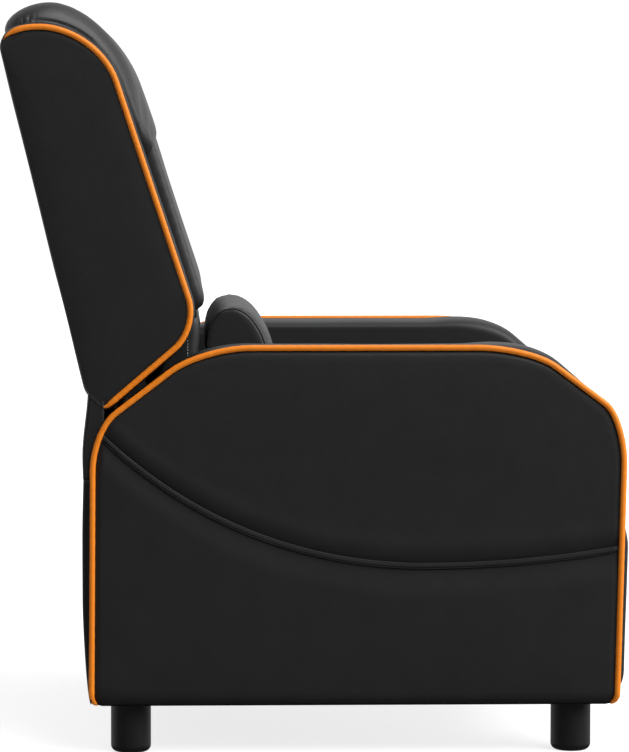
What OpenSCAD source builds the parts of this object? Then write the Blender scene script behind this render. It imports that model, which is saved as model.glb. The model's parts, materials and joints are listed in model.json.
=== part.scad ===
// Push-back lounge recliner with a pop-out footrest, in millimetres.
// The sitter faces -Y, the floor is Z = 0, and the sitter's left is +X.
// The back turns on the seat plates, and a stud on each side plate runs in a slot of its bracket.
// So a push on the back swings the seat forward, and the rods turn the footrest links by as much.

/* [Overall] */
// Width across the two arms
chair_w = 740; // [700:5:780]
// Height of the legs
leg_h = 67; // [55:1:80]
// Height of the arms above the legs
arm_h = 480; // [470:1:490]
// Width of one arm
arm_w = 108; // [95:1:120]

/* [Arms] */
// Forward reach of the arm from the middle of the chair
arm_front_y = 414; // [405:1:425]
// Rearward reach of the arm from the middle of the chair
arm_rear_y = 296; // [290:1:298]
// How far the foot of the arm stands behind its front
arm_toe_in = 14; // [5:1:20]
// Radius of the front top corner of the arm
arm_front_r = 178; // [150:1:190]
// Radius of the rear top corner of the arm
arm_rear_r = 195; // [185:1:210]
// Small radius at the foot of the arm
arm_foot_r = 12; // [6:1:16]
// Swell of the padded face of the arm
arm_crown = 6; // [2:0.5:8]
// Thickness of the padded shell of the arm
arm_shell_t = 22; // [18:1:26]
// Thickness of the plywood in the arms
ply_t = 12; // [9:1:15]

/* [Legs] */
// Diameter of a leg
leg_d = 54; // [40:1:60]
// Radius at the lower edge of a leg
leg_edge_r = 9; // [4:1:14]
// Distance of the front legs ahead of the middle
leg_front_y = 349; // [330:1:355]
// Distance of the rear legs behind the middle
leg_rear_y = 245; // [220:1:255]
// Diameter of the leg bolts
leg_bolt_d = 8; // [6:1:10]

/* [Back] */
// Width of the back less than the width of the chair, each side
back_side_inset = 4; // [3:0.5:8]
// Height of the notch of the side wing above the arm
wing_notch_rise = 26; // [22:1:30]
// Distance of the notch of the side wing behind the middle
wing_notch_y = 154; // [150:1:160]
// Height of the wing from its notch to its top
wing_h = 402; // [380:1:410]
// Lean of the front edge of the wing, in degrees
wing_lean = 18.4; // [17:0.1:19]
// Length of the flat top of the wing
wing_top_l = 133; // [128:1:138]
// Fall of the top of the wing to the rear
wing_top_fall = 9; // [4:1:14]
// Depth that the foot of the wing hangs below the top of the arm
wing_foot_drop = 75; // [70:1:78]
// Distance of the foot of the wing behind the middle
wing_foot_y = 272; // [270:1:276]
// Distance of the heel of the wing behind the middle
wing_heel_y = 301; // [300:1:304]
// Height of the heel of the wing above its foot
wing_heel_rise = 15; // [12:1:18]
// Radius of the top front corner of the wing
wing_top_r = 100; // [90:1:110]
// Radius of the notch corner of the wing
wing_notch_r = 60; // [50:1:66]
// Small radius at the sharp corners of the wing
wing_small_r = 6; // [4:0.5:7]
// Thickness of a wing panel
wing_t = 10; // [9.5:0.5:12]
// Depth of the core behind the front edge of the wings
core_inset = 28; // [24:1:30]
// Swell of the back pad ahead of the wings
back_pad_proud = 29; // [22:1:34]
// Distance of the sides of the back pad from the sides of the back
back_pad_side = 56; // [40:1:76]
// Height of the head pad above the wings
head_pad_rise = 34; // [28:1:36]

/* [Piping] */
// Diameter of the piping
piping_d = 8; // [6:0.5:8.5]

/* [Seat] */
// Top of the seat cushion at the front
seat_front_z = 449; // [441:1:455]
// Top of the seat cushion at the rear
seat_rear_z = 423; // [417:1:429]
// Underside of the seat cushion
seat_under_z = 361; // [359:1:365]
// Forward reach of the seat cushion
seat_front_y = 388; // [382:1:392]
// Rear end of the seat cushion
seat_rear_y = 150; // [144:1:152]
// Width of the lumbar pillow
pillow_w = 400; // [360:5:440]
// Height of the lumbar pillow
pillow_h = 166; // [150:1:168]
// Thickness of the lumbar pillow
pillow_t = 88; // [74:1:90]
// Diameter of the spring wire
spring_wire_d = 3.6; // [3:0.1:4.5]

/* [Mechanism] */
// Thickness of the steel bars
bar_t = 4; // [3:0.5:4.5]
// Width of the steel bars
bar_w = 18; // [16:1:20]
// Running gap between neighbouring bars
bar_gap = 1; // [0.6:0.1:1.2]
// Diameter of the rivets
rivet_d = 8; // [6:0.5:9]
// Radial clearance of a turning rivet
rivet_clear = 0.05; // [0.02:0.01:0.08]
// Height of the row of pivots on the seat plates
pivot_z = 279; // [275:1:283]
// Distance between the pivots of a swing link
swing_l = 62; // [60:0.5:64]
// Length of a footrest link between its pivots
foot_link_l = 150; // [146:1:154]
// Crank length of the drive rods
drive_crank = 36; // [34:1:38]
// Crank length of the control links
control_crank = 32; // [31:0.5:33]
// Height of the guide stud above the back hinge
guide_h = 108; // [107:0.5:109]
// Length that the guide stud travels in its slot
guide_travel = 17; // [17:0.5:20]
// Diameter of the guide stud
guide_d = 10; // [8:0.5:12]

/* [Footrest] */
// Height of the footrest panel
foot_panel_h = 220; // [205:1:222]
// Underside of the footrest panel when it is stowed
foot_panel_z = 109; // [105:1:115]
// Thickness of the footrest board
foot_board_t = 15; // [12:1:16]
// Thickness of the footrest pad
foot_pad_t = 33; // [28:1:36]

/* [Hidden] */
seat_clear = 0.3;
cut_over = 2;
round_fn = 64;
arc_steps = 7;
arm_top_z = leg_h + arm_h;
arm_out_x = chair_w / 2;
arm_in_x = arm_out_x - arm_w;
arm_mid_x = arm_out_x - arm_w / 2;
back_out_x = arm_out_x - back_side_inset;
back_core_x = back_out_x - wing_t;

// The side view of the arm, as corners with a radius each
arm_corners = [
    [-(arm_front_y - arm_toe_in), leg_h, arm_foot_r],
    [arm_rear_y, leg_h, arm_foot_r],
    [arm_rear_y, arm_top_z, arm_rear_r],
    [-arm_front_y, arm_top_z, arm_front_r]
];

// The side view of the wing of the back
wing_foot_z = arm_top_z - wing_foot_drop;
wing_notch_z = arm_top_z + wing_notch_rise;
wing_top_z = wing_notch_z + wing_h;
wing_head_y = wing_notch_y + wing_h * tan(wing_lean);
wing_heel_z = wing_foot_z + wing_heel_rise;
wing_crest_y = wing_head_y + wing_top_l;
wing_crest_z = wing_top_z - wing_top_fall;
wing_crest_r = 14;
wing_corners = [
    [wing_foot_y, wing_foot_z, wing_small_r],
    [wing_heel_y, wing_heel_z, wing_small_r],
    [wing_crest_y, wing_crest_z, wing_crest_r],
    [wing_head_y, wing_top_z, wing_top_r],
    [wing_notch_y, wing_notch_z, wing_notch_r]
];

// The core between the wings, which the pads lie on
core_top_drop = 46;
core_slope_in = 5;
core_slope_run = wing_foot_y - wing_notch_y;
core_slope_rise = wing_notch_z - wing_foot_z;
core_front_share = core_inset / core_slope_run;
core_top_z = wing_top_z - core_top_drop;
core_foot_z = wing_foot_z + core_slope_in;
core_notch_z = wing_notch_z - core_front_share * core_slope_rise + core_slope_in;
core_notch_y = wing_notch_y + core_inset;
core_front_y = core_notch_y + (core_top_z - core_notch_z) * tan(wing_lean);
rear_slope = (wing_crest_y - wing_heel_y) / (wing_crest_z - wing_heel_z);
core_rear_y = wing_heel_y + (core_top_z - wing_heel_z) * rear_slope;
core_r = 8;
core_corners = [
    [wing_foot_y, core_foot_z, wing_small_r],
    [wing_heel_y, wing_heel_z, wing_small_r],
    [core_rear_y, core_top_z, core_r],
    [core_front_y, core_top_z, core_r],
    [core_notch_y, core_notch_z, core_r]
];

// The posts of the back lean with its rear face
post_lean = atan(rear_slope);
post_foot_drop = 118;
post_foot_z = wing_foot_z - post_foot_drop;
post_top_gap = 8;
post_l = (core_top_z - post_foot_z) / cos(post_lean) - post_top_gap;
post_depth = 38;
post_t = 24;
post_cavity_front = 14;
rail_h = 60;

// Sideways layers of the mechanism, counted inwards from the arm
plate_x = arm_in_x - bar_t;
link_x = plate_x - bar_gap - bar_t;
rod_x = link_x - bar_gap - bar_t;
seat_plate_x = rod_x - bar_gap - bar_t;
head_t = 3;
head_flare = 6;
head_d = rivet_d + head_flare;
post_side_gap = 8;
post_out_x = rod_x - post_side_gap;

// Pivots in the side view, with the chair upright
swing_rest_a = -60;
front_swing_y = 0;
rear_swing_y = 120;
back_hinge_y = 200;
post_setback = 3;
post_foot_y = back_hinge_y + post_setback;
front_foot_y = -230;
rear_foot_y = -130;
foot_rest_a = -45;
swing_reach = swing_l * [cos(swing_rest_a), sin(swing_rest_a)];
front_swing_pin = [front_swing_y, pivot_z];
rear_swing_pin = [rear_swing_y, pivot_z];
front_base_pin = front_swing_pin - swing_reach;
rear_base_pin = rear_swing_pin - swing_reach;
back_hinge_pin = [back_hinge_y, pivot_z];
guide_pin = back_hinge_pin + [0, guide_h];
front_foot_pin = [front_foot_y, pivot_z];
rear_foot_pin = [rear_foot_y, pivot_z];
foot_reach = foot_link_l * [cos(foot_rest_a), sin(foot_rest_a)];
front_carry_pin = front_foot_pin + foot_reach;
rear_carry_pin = rear_foot_pin + foot_reach;
drive_reach = drive_crank * [cos(foot_rest_a + 180), sin(foot_rest_a + 180)];
swing_drive_pin = front_swing_pin + drive_reach;
foot_drive_pin = rear_foot_pin + drive_reach;
foot_hinge_y = -345;
foot_hinge_rise = 30;
foot_hinge_pin = [foot_hinge_y, pivot_z + foot_hinge_rise];
control_crank_a = 135;
control_line = foot_hinge_pin - front_carry_pin;
control_a = atan2(control_line[1], control_line[0]) + control_crank_a;
control_reach = control_crank * [cos(control_a), sin(control_a)];
link_control_pin = front_carry_pin + control_reach;
foot_control_pin = foot_hinge_pin + control_reach;

// Front of the lower back pad
lower_pad_setback = 28;
lower_pad_y = back_hinge_y - lower_pad_setback;

// Footrest panel, stowed upright between the arms
foot_panel_y = -352;
foot_pad_side_clear = 6;
foot_board_side = 22;
foot_pad_x = arm_in_x - foot_pad_side_clear;
foot_board_x = arm_in_x - foot_board_side;
foot_board_margin = 8;

// Rails, covers and frames
middle_rail_y = 10;
middle_rail_t = 28;
middle_rail_h = 26;
rear_rail_y = 262;
rear_rail_t = 22;
rear_rail_rise = 4;
rear_rail_z = leg_h + rear_rail_rise;
rear_rail_h = 78;
rear_cover_t = 13;
rear_cover_top_z = 371;
rear_cover_swell = 3;
flap_t = 4;
seat_rail_t = 22;
seat_rail_h = 45;
seat_rail_z = 309;
seat_front_rail_y = -312;
seat_rear_rail_y = 128;
mount_plate_h = 50;

function unit2(v) = v / norm(v);
function turn2(a, b) = a[0] * b[1] - a[1] * b[0];
function flat2(c) = [c[0], c[1]];

// Corner i of a closed outline moved inwards by d, where the outline runs anticlockwise
least_r_share = 0.1;
function inset_corner(c, i, d) =
    let (n = len(c), p = flat2(c[i]), a = flat2(c[(i + n - 1) % n]), b = flat2(c[(i + 1) % n]))
    let (u = unit2(a - p), v = unit2(b - p), half = acos(u * v) / 2)
    let (side = turn2(p - a, b - p) > 0 ? 1 : -1, q = p + side * unit2(u + v) * d / sin(half))
    [q[0], q[1], max(c[i][2] - side * d, c[i][2] * least_r_share)];
function inset_corners(c, d) = [for (i = [0:len(c) - 1]) inset_corner(c, i, d)];

// Points of the arc that rounds corner p between its neighbours a and b
function arc_points(a, p, b, r, steps) =
    let (u = unit2(a - p), v = unit2(b - p), half = acos(u * v) / 2)
    let (mid = p + unit2(u + v) * r / sin(half), start = p + u * r / tan(half) - mid)
    let (stop = p + v * r / tan(half) - mid, a0 = atan2(start[1], start[0]))
    let (sweep = (atan2(stop[1], stop[0]) - a0 + 540) % 360 - 180)
    [for (k = [0:steps]) mid + r * [cos(a0 + sweep * k / steps), sin(a0 + sweep * k / steps)]];
function outline(c, steps = arc_steps) = [
    for (i = [0:len(c) - 1])
        each arc_points(flat2(c[(i + len(c) - 1) % len(c)]), flat2(c[i]),
            flat2(c[(i + 1) % len(c)]), c[i][2], steps)
];
function ring(c, d, steps = arc_steps) = outline(inset_corners(c, d), steps);

// A drawing of the side view, with Y and Z as its two axes, made solid from x0 to x1
module side_solid(x0, x1) {
    translate([x0, 0, 0]) rotate([90, 0, 90]) linear_extrude(height = x1 - x0) children();
}

// A round pin along X
module side_pin(place, x0, x1, d) {
    translate([x0, place[0], place[1]]) rotate([0, 90, 0]) cylinder(h = x1 - x0, d = d, $fn = round_fn);
}

module both_sides() {
    children();
    mirror([1, 0, 0]) children();
}

// A soft form: one outline at stations along X, each moved inwards by its own amount
function held(p, low, high) = [max(low[0], min(high[0], p[0])), max(low[1], min(high[1], p[1]))];
function dented(p, hub, face, depth, reach) =
    p - face * depth * max(0, min(1, (p - hub) * face / reach));
module soft_form(c, stations, low, high, steps = arc_steps, hub = [0, 0], face = [0, 0], reach = 1) {
    rows = [
        for (s = stations)
            [
                for (p = ring(c, s[1], steps))
                    let (q = held(dented(p, hub, face, s[2], reach), low, high))
                    [s[0], q[0], q[1]]
            ]
    ];
    n = len(rows[0]);
    m = len(rows);
    ones = [for (p = rows[0]) 1];
    caps = [for (row = [rows[0], rows[m - 1]]) [for (k = [0:2]) [for (p = row) p[k]] * ones / n]];
    points = [for (row = rows) each row, each caps];
    sides = [
        for (j = [0:m - 2], i = [0:n - 1])
            let (a = j * n + i, b = j * n + (i + 1) % n)
            each [[a, a + n, b], [b, a + n, b + n]]
    ];
    ends = [
        for (i = [0:n - 1])
            each [[m * n, i, (i + 1) % n], [m * n + 1, (m - 1) * n + (i + 1) % n, (m - 1) * n + i]]
    ];
    polyhedron(points = points, faces = concat(sides, ends), convexity = 4);
}
far_low = -[chair_w, chair_w] * 2;
far_high = -far_low;

// Stations of a pad from -x to x, with round ends of radius r, a crown, and a seam dip at each channel
end_shares = [0, 0.12, 0.35, 0.7, 1];
mid_shares = [0.2, 0.4, 0.6, 0.8];
function end_inset(share, r) = r * (1 - sqrt(1 - pow(1 - share, 2)));
function crown_at(x, half, crown) = -crown * (1 - pow(x / half, 2));
function pad_stations(half, r, crown, channels = [], channel_w = 1, depth = 0) =
    let (end_at = function(x, s) [x, end_inset(s, r) + crown_at(x, half, crown), 0])
    let (ends = [for (s = end_shares) end_at(half - s * r, s)])
    let (inner = half - r)
    let (mid_x = [for (s = mid_shares) inner - 2 * inner * s])
    let (mids = [for (x = mid_x) [x, crown_at(x, half, crown), 0]])
    let (seam_at = function(x, k) [x + k * channel_w, crown_at(x, half, crown), k == 0 ? depth : 0])
    let (seams = [for (x = channels, k = [-1:1]) seam_at(x, k)])
    sorted(concat([for (e = ends) [-e[0], e[1], e[2]]], mids, seams, ends));
function sorted(v) =
    len(v) <= 1 ? v :
    let (p = v[floor(len(v) / 2)][0])
    let (below = [for (e = v) if (e[0] < p) e], above = [for (e = v) if (e[0] > p) e])
    let (same = [for (e = v) if (e[0] == p) e])
    concat(sorted(below), [same[0]], sorted(above));

// A round cord along an open run of points in the side view, at one X
cord_sides = 6;
module side_cord(run, x, d) {
    n = len(run);
    way = [for (i = [0:n - 1]) unit2(run[min(i + 1, n - 1)] - run[max(i - 1, 0)])];
    points = [
        for (i = [0:n - 1], k = [0:cord_sides - 1])
            let (a = 360 * k / cord_sides, side = [-way[i][1], way[i][0]] * cos(a) * d / 2)
            [x + sin(a) * d / 2, run[i][0] + side[0], run[i][1] + side[1]]
    ];
    sides = [
        for (i = [0:n - 2], k = [0:cord_sides - 1])
            let (a = i * cord_sides + k, b = i * cord_sides + (k + 1) % cord_sides)
            each [[a, a + cord_sides, b], [b, a + cord_sides, b + cord_sides]]
    ];
    first = [for (k = [0:cord_sides - 1]) k];
    last = [for (k = [cord_sides - 1:-1:0]) (n - 1) * cord_sides + k];
    polyhedron(points = points, faces = concat(sides, [first], [last]), convexity = 4);
}

// The arms: a padded shell round a plywood box, with piping along the outer edge
arm_seam_margin = 4;
arm_seam_w = piping_d + arm_seam_margin;
arm_panel_inset = piping_d + 2 * seat_clear;
arm_inner_round = 10;
arm_round_share = 0.3;
cavity_in_share = 0.8;
cavity_out_share = 1.3;
arm_cavity_in = arm_in_x + arm_shell_t * cavity_in_share;
arm_cavity_out = arm_out_x - arm_shell_t * cavity_out_share;
arm_edge_x = arm_out_x - arm_seam_w;
arm_face_round = 3;
arm_rear_swell = 1;
arm_low = [-chair_w, leg_h];
arm_high = [arm_rear_y + arm_rear_swell, chair_w * 2];
crown_in_share = 0.15;
crown_out_share = 0.1;
crown_rise_share = 0.9;
crown_fall_share = 0.4;
arm_stations = [
    [arm_in_x, arm_inner_round, 0],
    [arm_in_x + arm_inner_round * arm_round_share, arm_inner_round * arm_round_share, 0],
    [arm_in_x + arm_inner_round, 0, 0],
    [arm_mid_x - arm_w * crown_in_share, -arm_crown * crown_rise_share, 0],
    [arm_mid_x + arm_w * crown_out_share, -arm_crown, 0],
    [arm_edge_x - arm_inner_round, -arm_crown * crown_fall_share, 0],
    [arm_edge_x, 0, 0],
    [arm_edge_x, arm_panel_inset, 0],
    [arm_out_x - arm_face_round, arm_panel_inset, 0],
    [arm_out_x, arm_panel_inset + arm_face_round, 0]
];
module arm_hollow(x0, x1, inset) {
    side_solid(x0, x1) polygon(ring(arm_corners, inset));
}
module leg_bolt_holes(d, z0, z1) {
    for (y = [-leg_front_y, leg_rear_y])
        translate([arm_mid_x, y, z0]) cylinder(h = z1 - z0, d = d, $fn = round_fn);
}
module arm_cover() {
    color("#26272a") difference() {
        soft_form(arm_corners, arm_stations, arm_low, arm_high);
        arm_hollow(arm_cavity_in, arm_cavity_out, arm_shell_t);
        leg_bolt_holes(leg_bolt_d + 2 * seat_clear, leg_h - cut_over, leg_h + arm_shell_t + cut_over);
    }
}
arm_block_w = 60;
ply_edge_share = 1.5;
module arm_frame() {
    x0 = arm_cavity_in + seat_clear;
    x1 = arm_cavity_out - seat_clear;
    outer = arm_shell_t + seat_clear;
    color("#c79a63") difference() {
        arm_hollow(x0, x1, outer);
        arm_hollow(x0 + ply_t, x1 - ply_t, outer + ply_t * ply_edge_share);
        arm_hollow(x0 - cut_over, x0 + ply_t + cut_over, outer + arm_block_w);
        arm_hollow(x1 - ply_t - cut_over, x1 + cut_over, outer + arm_block_w);
        leg_bolt_holes(leg_bolt_d + 2 * seat_clear, leg_h, leg_h + arm_shell_t + arm_block_w);
    }
}
module arm_piping() {
    whole = inset_corners(arm_corners, piping_d / 2 + seat_clear);
    foot_y = [whole[1][0], whole[0][0]];
    run = concat([[foot_y[0], leg_h + arm_foot_r]],
        arc_points(flat2(whole[1]), flat2(whole[2]), flat2(whole[3]), whole[2][2], arc_steps * 2),
        arc_points(flat2(whole[2]), flat2(whole[3]), flat2(whole[0]), whole[3][2], arc_steps * 2),
        [[foot_y[1], leg_h + arm_foot_r]]);
    color("#e8801c") side_cord(run, arm_edge_x + piping_d / 2 + seat_clear, piping_d);
}

module middle_rail() {
    color("#c79a63") translate([-arm_in_x + seat_clear, middle_rail_y, rear_rail_z])
        cube([2 * (arm_in_x - seat_clear), middle_rail_t, middle_rail_h]);
}
module rear_rail() {
    color("#c79a63") translate([-arm_in_x + seat_clear, rear_rail_y, rear_rail_z])
        cube([2 * (arm_in_x - seat_clear), rear_rail_t, rear_rail_h]);
}
rear_cover_y = arm_high[0] + seat_clear;
rear_cover_edge = 4;
module rear_cover() {
    out_y = rear_cover_y + rear_cover_t - rear_cover_swell;
    color("#232427") side_solid(-back_out_x, back_out_x) polygon([
        [rear_cover_y, leg_h + rear_cover_edge],
        [out_y - rear_cover_edge, leg_h + rear_cover_edge],
        [out_y, leg_h + rear_cover_edge * 3],
        [out_y + rear_cover_swell, (leg_h + rear_cover_top_z) / 2],
        [out_y, rear_cover_top_z - rear_cover_edge * 2],
        [out_y - rear_cover_edge, rear_cover_top_z],
        [rear_cover_y, rear_cover_top_z]
    ]);
}

// Legs: turned feet with a soft lower edge, each on one bolt
leg_bore_share = 0.52;
leg_bore_z = leg_h * leg_bore_share;
leg_bolt_grip = 14;
leg_bolt_top = leg_h + arm_shell_t + leg_bolt_grip;
module leg(x, y) {
    color("#141416") translate([x, y, 0]) difference() {
        rotate_extrude($fn = round_fn) union() {
            square([leg_d / 2 - leg_edge_r, leg_h]);
            translate([0, leg_edge_r]) square([leg_d / 2, leg_h - leg_edge_r]);
            translate([leg_d / 2 - leg_edge_r, leg_edge_r]) circle(r = leg_edge_r, $fn = round_fn);
        }
        translate([0, 0, leg_bore_z]) cylinder(h = leg_h, d = leg_bolt_d + 2 * seat_clear, $fn = round_fn);
    }
}
module leg_bolts() {
    color("#b9bcc0") both_sides() for (y = [-leg_front_y, leg_rear_y])
        translate([arm_mid_x, y, leg_bore_z])
            cylinder(h = leg_bolt_top - leg_bore_z, d = leg_bolt_d, $fn = round_fn);
}

// A flat steel bar through some pivots, bored at each
module bar(pins, x, bore, w = bar_w) {
    side_solid(x, x + bar_t) difference() {
        union() {
            for (p = pins) translate(p) circle(d = w, $fn = round_fn);
            for (i = [0:len(pins) - 2])
                translate(pins[i]) rotate(atan2(pins[i + 1][1] - pins[i][1], pins[i + 1][0] - pins[i][0]))
                    translate([0, -w / 2]) square([norm(pins[i + 1] - pins[i]), w]);
        }
        for (p = pins) translate(p) circle(d = bore, $fn = round_fn);
    }
}
turning_bore = rivet_d + 2 * rivet_clear;

// A stamped plate round the given ends, bored at each of its pivots
plate_fn = 32;
module link_plate(ends, pins, x) {
    difference() {
        side_solid(x, x + bar_t)
            hull() for (p = ends) translate(p) circle(d = bar_w, $fn = plate_fn);
        for (p = pins) side_pin(p, x - cut_over, x + bar_t + cut_over, turning_bore);
    }
}

// A shoulder rivet from x0 to x1 with a head outside each end
module rivet(place, x0, x1, inner_head = true, outer_head = true) {
    side_pin(place, x0, x1, rivet_d);
    if (inner_head) side_pin(place, x0 - head_t, x0, head_d);
    if (outer_head) side_pin(place, x1, x1 + head_t, head_d);
}

// The side plate on the arm, which carries the swing links and the guide stud
plate_margin = 16;
screw_d = 6;
front_screw_reach = 32;
rear_screw_reach = 40;
plate_screw_places = [
    [front_base_pin[0] - front_screw_reach, front_base_pin[1]],
    [(front_base_pin[0] + rear_base_pin[0]) / 2, front_base_pin[1]],
    [rear_base_pin[0] + rear_screw_reach, rear_base_pin[1]]
];
module mount_plate_outline() {
    low = front_base_pin[1] - mount_plate_h / 2;
    polygon([
        [plate_screw_places[0][0] - plate_margin, low],
        [guide_pin[0] + plate_margin, low],
        [guide_pin[0] + plate_margin, guide_pin[1] + plate_margin],
        [guide_pin[0] - plate_margin, guide_pin[1] + plate_margin],
        [guide_pin[0] - plate_margin * 2, low + mount_plate_h],
        [plate_screw_places[0][0] - plate_margin, low + mount_plate_h]
    ]);
}
module mount_plate() {
    color("#4a4d52") side_solid(plate_x, arm_in_x) difference() {
        mount_plate_outline();
        for (p = [front_base_pin, rear_base_pin, guide_pin])
            translate(p) circle(d = rivet_d, $fn = round_fn);
        for (p = plate_screw_places) translate(p) circle(d = screw_d, $fn = round_fn);
    }
}
screw_head_d = 12;
screw_head_t = 0.8;
module mount_screws() {
    color("#b9bcc0") both_sides() for (p = plate_screw_places) {
        side_pin(p, plate_x - screw_head_t, plate_x, screw_head_d);
        side_pin(p, plate_x, arm_in_x, screw_d);
    }
}
guide_head_flare = 8;
module base_studs() {
    color("#b9bcc0") both_sides() {
        for (p = [front_base_pin, rear_base_pin])
            rivet(p, link_x - seat_clear, arm_in_x, true, false);
        side_pin(guide_pin, plate_x, arm_in_x, rivet_d);
        side_pin(guide_pin, rod_x - seat_clear, plate_x, guide_d);
        side_pin(guide_pin, rod_x - seat_clear - head_t, rod_x - seat_clear, guide_d + guide_head_flare);
    }
}

// Swing links that hang the seat from the arms
module front_swing_links() {
    pins = [front_base_pin, front_swing_pin, swing_drive_pin];
    color("#5a5d63") both_sides() link_plate(pins, pins, link_x);
}
module rear_swing_links() {
    color("#5a5d63") both_sides() bar([rear_base_pin, rear_swing_pin], link_x, turning_bore);
}

// Seat plates with the row of pivots, and a raised nose and tail for the wooden rails
seat_plate_below = 16;
seat_plate_above = 18;
seat_nose_margin = 2;
seat_plate_low = pivot_z - seat_plate_below;
seat_plate_high = pivot_z + seat_plate_above;
seat_nose_y = seat_front_rail_y - seat_nose_margin;
module seat_plate() {
    rail_top = seat_rail_z + seat_rail_h;
    color("#4a4d52") side_solid(seat_plate_x, seat_plate_x + bar_t) difference() {
        polygon([
            [front_foot_y - bar_w, seat_plate_low],
            [back_hinge_y + bar_w, seat_plate_low],
            [back_hinge_y + bar_w, seat_plate_high],
            [seat_rear_rail_y + seat_rail_t, seat_plate_high + bar_w],
            [seat_rear_rail_y + seat_rail_t, rail_top],
            [seat_rear_rail_y, rail_top],
            [seat_rear_rail_y - bar_w, seat_plate_high],
            [seat_front_rail_y + seat_rail_t + bar_w, seat_plate_high],
            [seat_front_rail_y + seat_rail_t, rail_top],
            [seat_nose_y, rail_top],
            [seat_nose_y, seat_rail_z]
        ]);
        for (p = [front_foot_pin, rear_foot_pin, front_swing_pin, rear_swing_pin, back_hinge_pin])
            translate(p) circle(d = rivet_d, $fn = round_fn);
    }
}
module seat_rivets() {
    color("#b9bcc0") both_sides() {
        for (p = [front_foot_pin, rear_foot_pin, front_swing_pin, rear_swing_pin])
            rivet(p, seat_plate_x, link_x + bar_t + seat_clear, true, false);
        rivet(back_hinge_pin, seat_plate_x, rod_x + bar_t + seat_clear);
    }
}
module seat_cross_rail(y) {
    half = seat_plate_x - seat_clear;
    color("#c79a63") translate([-half, y, seat_rail_z]) cube([2 * half, seat_rail_t, seat_rail_h]);
}

// Sinuous springs: rows of half turns joined by straight bars, hooked into clips on the rails
spring_n = 4;
spring_edge_share = 0.42;
spring_pitch = 2 * seat_plate_x / (spring_n + spring_edge_share);
spring_w = 72;
spring_turns = 10;
spring_y0 = seat_front_rail_y + seat_rail_t / 2;
spring_y1 = seat_rear_rail_y + seat_rail_t / 2;
spring_z = seat_rail_z + seat_rail_h + spring_wire_d / 2 + seat_clear;
spring_step = (spring_y1 - spring_y0) / spring_turns;
spring_bow_steps = 4;
function sinuous_run() =
    let (bow_r = spring_step / 2, reach = spring_w / 2 - bow_r, last = spring_turns % 2 == 0 ? -1 : 1)
    concat([[spring_y0, -reach]],
        [for (i = [0:spring_turns - 1], k = [0:spring_bow_steps])
            let (side = i % 2 == 0 ? 1 : -1, a = 180 * k / spring_bow_steps)
            [spring_y0 + (i + 0.5) * spring_step - bow_r * cos(a), side * (reach + bow_r * sin(a))]],
        [[spring_y1, -last * reach]]);
module sinuous_spring(x) {
    translate([x, 0, spring_z]) rotate([0, 90, 0]) side_cord(sinuous_run(), 0, spring_wire_d);
}
function spring_places() = [for (i = [0:spring_n - 1]) (i - (spring_n - 1) / 2) * spring_pitch];
module seat_springs() {
    color("#8d9096") for (x = spring_places()) sinuous_spring(x);
}
clip_t = 1.5;
clip_w = 22;
clip_l = 18;
module spring_clips() {
    color("#b9bcc0") for (x = spring_places(), y = [spring_y0, spring_y1])
        translate([x - clip_w / 2, y - clip_l / 2, seat_rail_z + seat_rail_h]) difference() {
            cube([clip_w, clip_l, spring_wire_d + 2 * clip_t]);
            translate([-cut_over, clip_l / 2 - spring_wire_d / 2 - seat_clear, seat_clear / 2])
                cube([clip_w + 2 * cut_over, spring_wire_d + 2 * seat_clear, spring_wire_d + seat_clear]);
        }
}

// Seat cushion: a domed pad with two sewn channels and a rolled front edge
seat_side_gap = 6;
seat_half = arm_in_x - seat_side_gap;
seat_side_r = 26;
seat_crown = 7;
seat_channel_share = 0.645;
seat_channel_x = seat_half * seat_channel_share;
seat_channel_w = 12;
seat_channel_d = 9;
seat_toe_in = 6;
seat_toe_r = 24;
seat_heel_r = 14;
seat_rear_r = 20;
seat_nose_r = 34;
seat_corners = [
    [-seat_front_y + seat_toe_in, seat_under_z, seat_toe_r],
    [seat_rear_y, seat_under_z, seat_heel_r],
    [seat_rear_y, seat_rear_z, seat_rear_r],
    [-seat_front_y, seat_front_z, seat_nose_r]
];
seat_low = [-chair_w, seat_under_z];
module seat_cushion() {
    hub = [(seat_rear_y - seat_front_y) / 2, seat_under_z];
    color("#222326")
        soft_form(inset_corners(seat_corners, seat_crown),
            pad_stations(seat_half, seat_side_r, seat_crown, [-seat_channel_x, seat_channel_x],
                seat_channel_w, seat_channel_d),
            seat_low, far_high, arc_steps, hub, [0, 1], (seat_rear_z - seat_under_z) / 2);
}

// Lumbar pillow: it stands on the seat and leans on the back
pillow_lean = 7;
pillow_foot_gap = 80;
pillow_y = lower_pad_y - pillow_foot_gap;
pillow_edge_share = 0.35;
pillow_foot_share = 0.3;
pillow_rear_share = 0.4;
pillow_front_share = 0.48;
pillow_rise = 4.2;
module lumbar_pillow() {
    half = pillow_w / 2;
    c = [
        [-pillow_t / 2, 0, pillow_t * pillow_foot_share],
        [pillow_t / 2, 0, pillow_t * pillow_foot_share],
        [pillow_t / 2, pillow_h, pillow_t * pillow_rear_share],
        [-pillow_t / 2, pillow_h, pillow_t * pillow_front_share]
    ];
    color("#2b2c30") translate([0, pillow_y, seat_rear_z + pillow_rise]) rotate([-pillow_lean, 0, 0])
        soft_form(c, pad_stations(half, pillow_t * pillow_edge_share, 0), far_low, far_high, 5);
}

// The back: a cover with side wings over posts and rails, with soft pads on its front
module lean_frame(x = 0) {
    translate([x, post_foot_y, post_foot_z]) rotate([-post_lean, 0, 0]) children();
}
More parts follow.
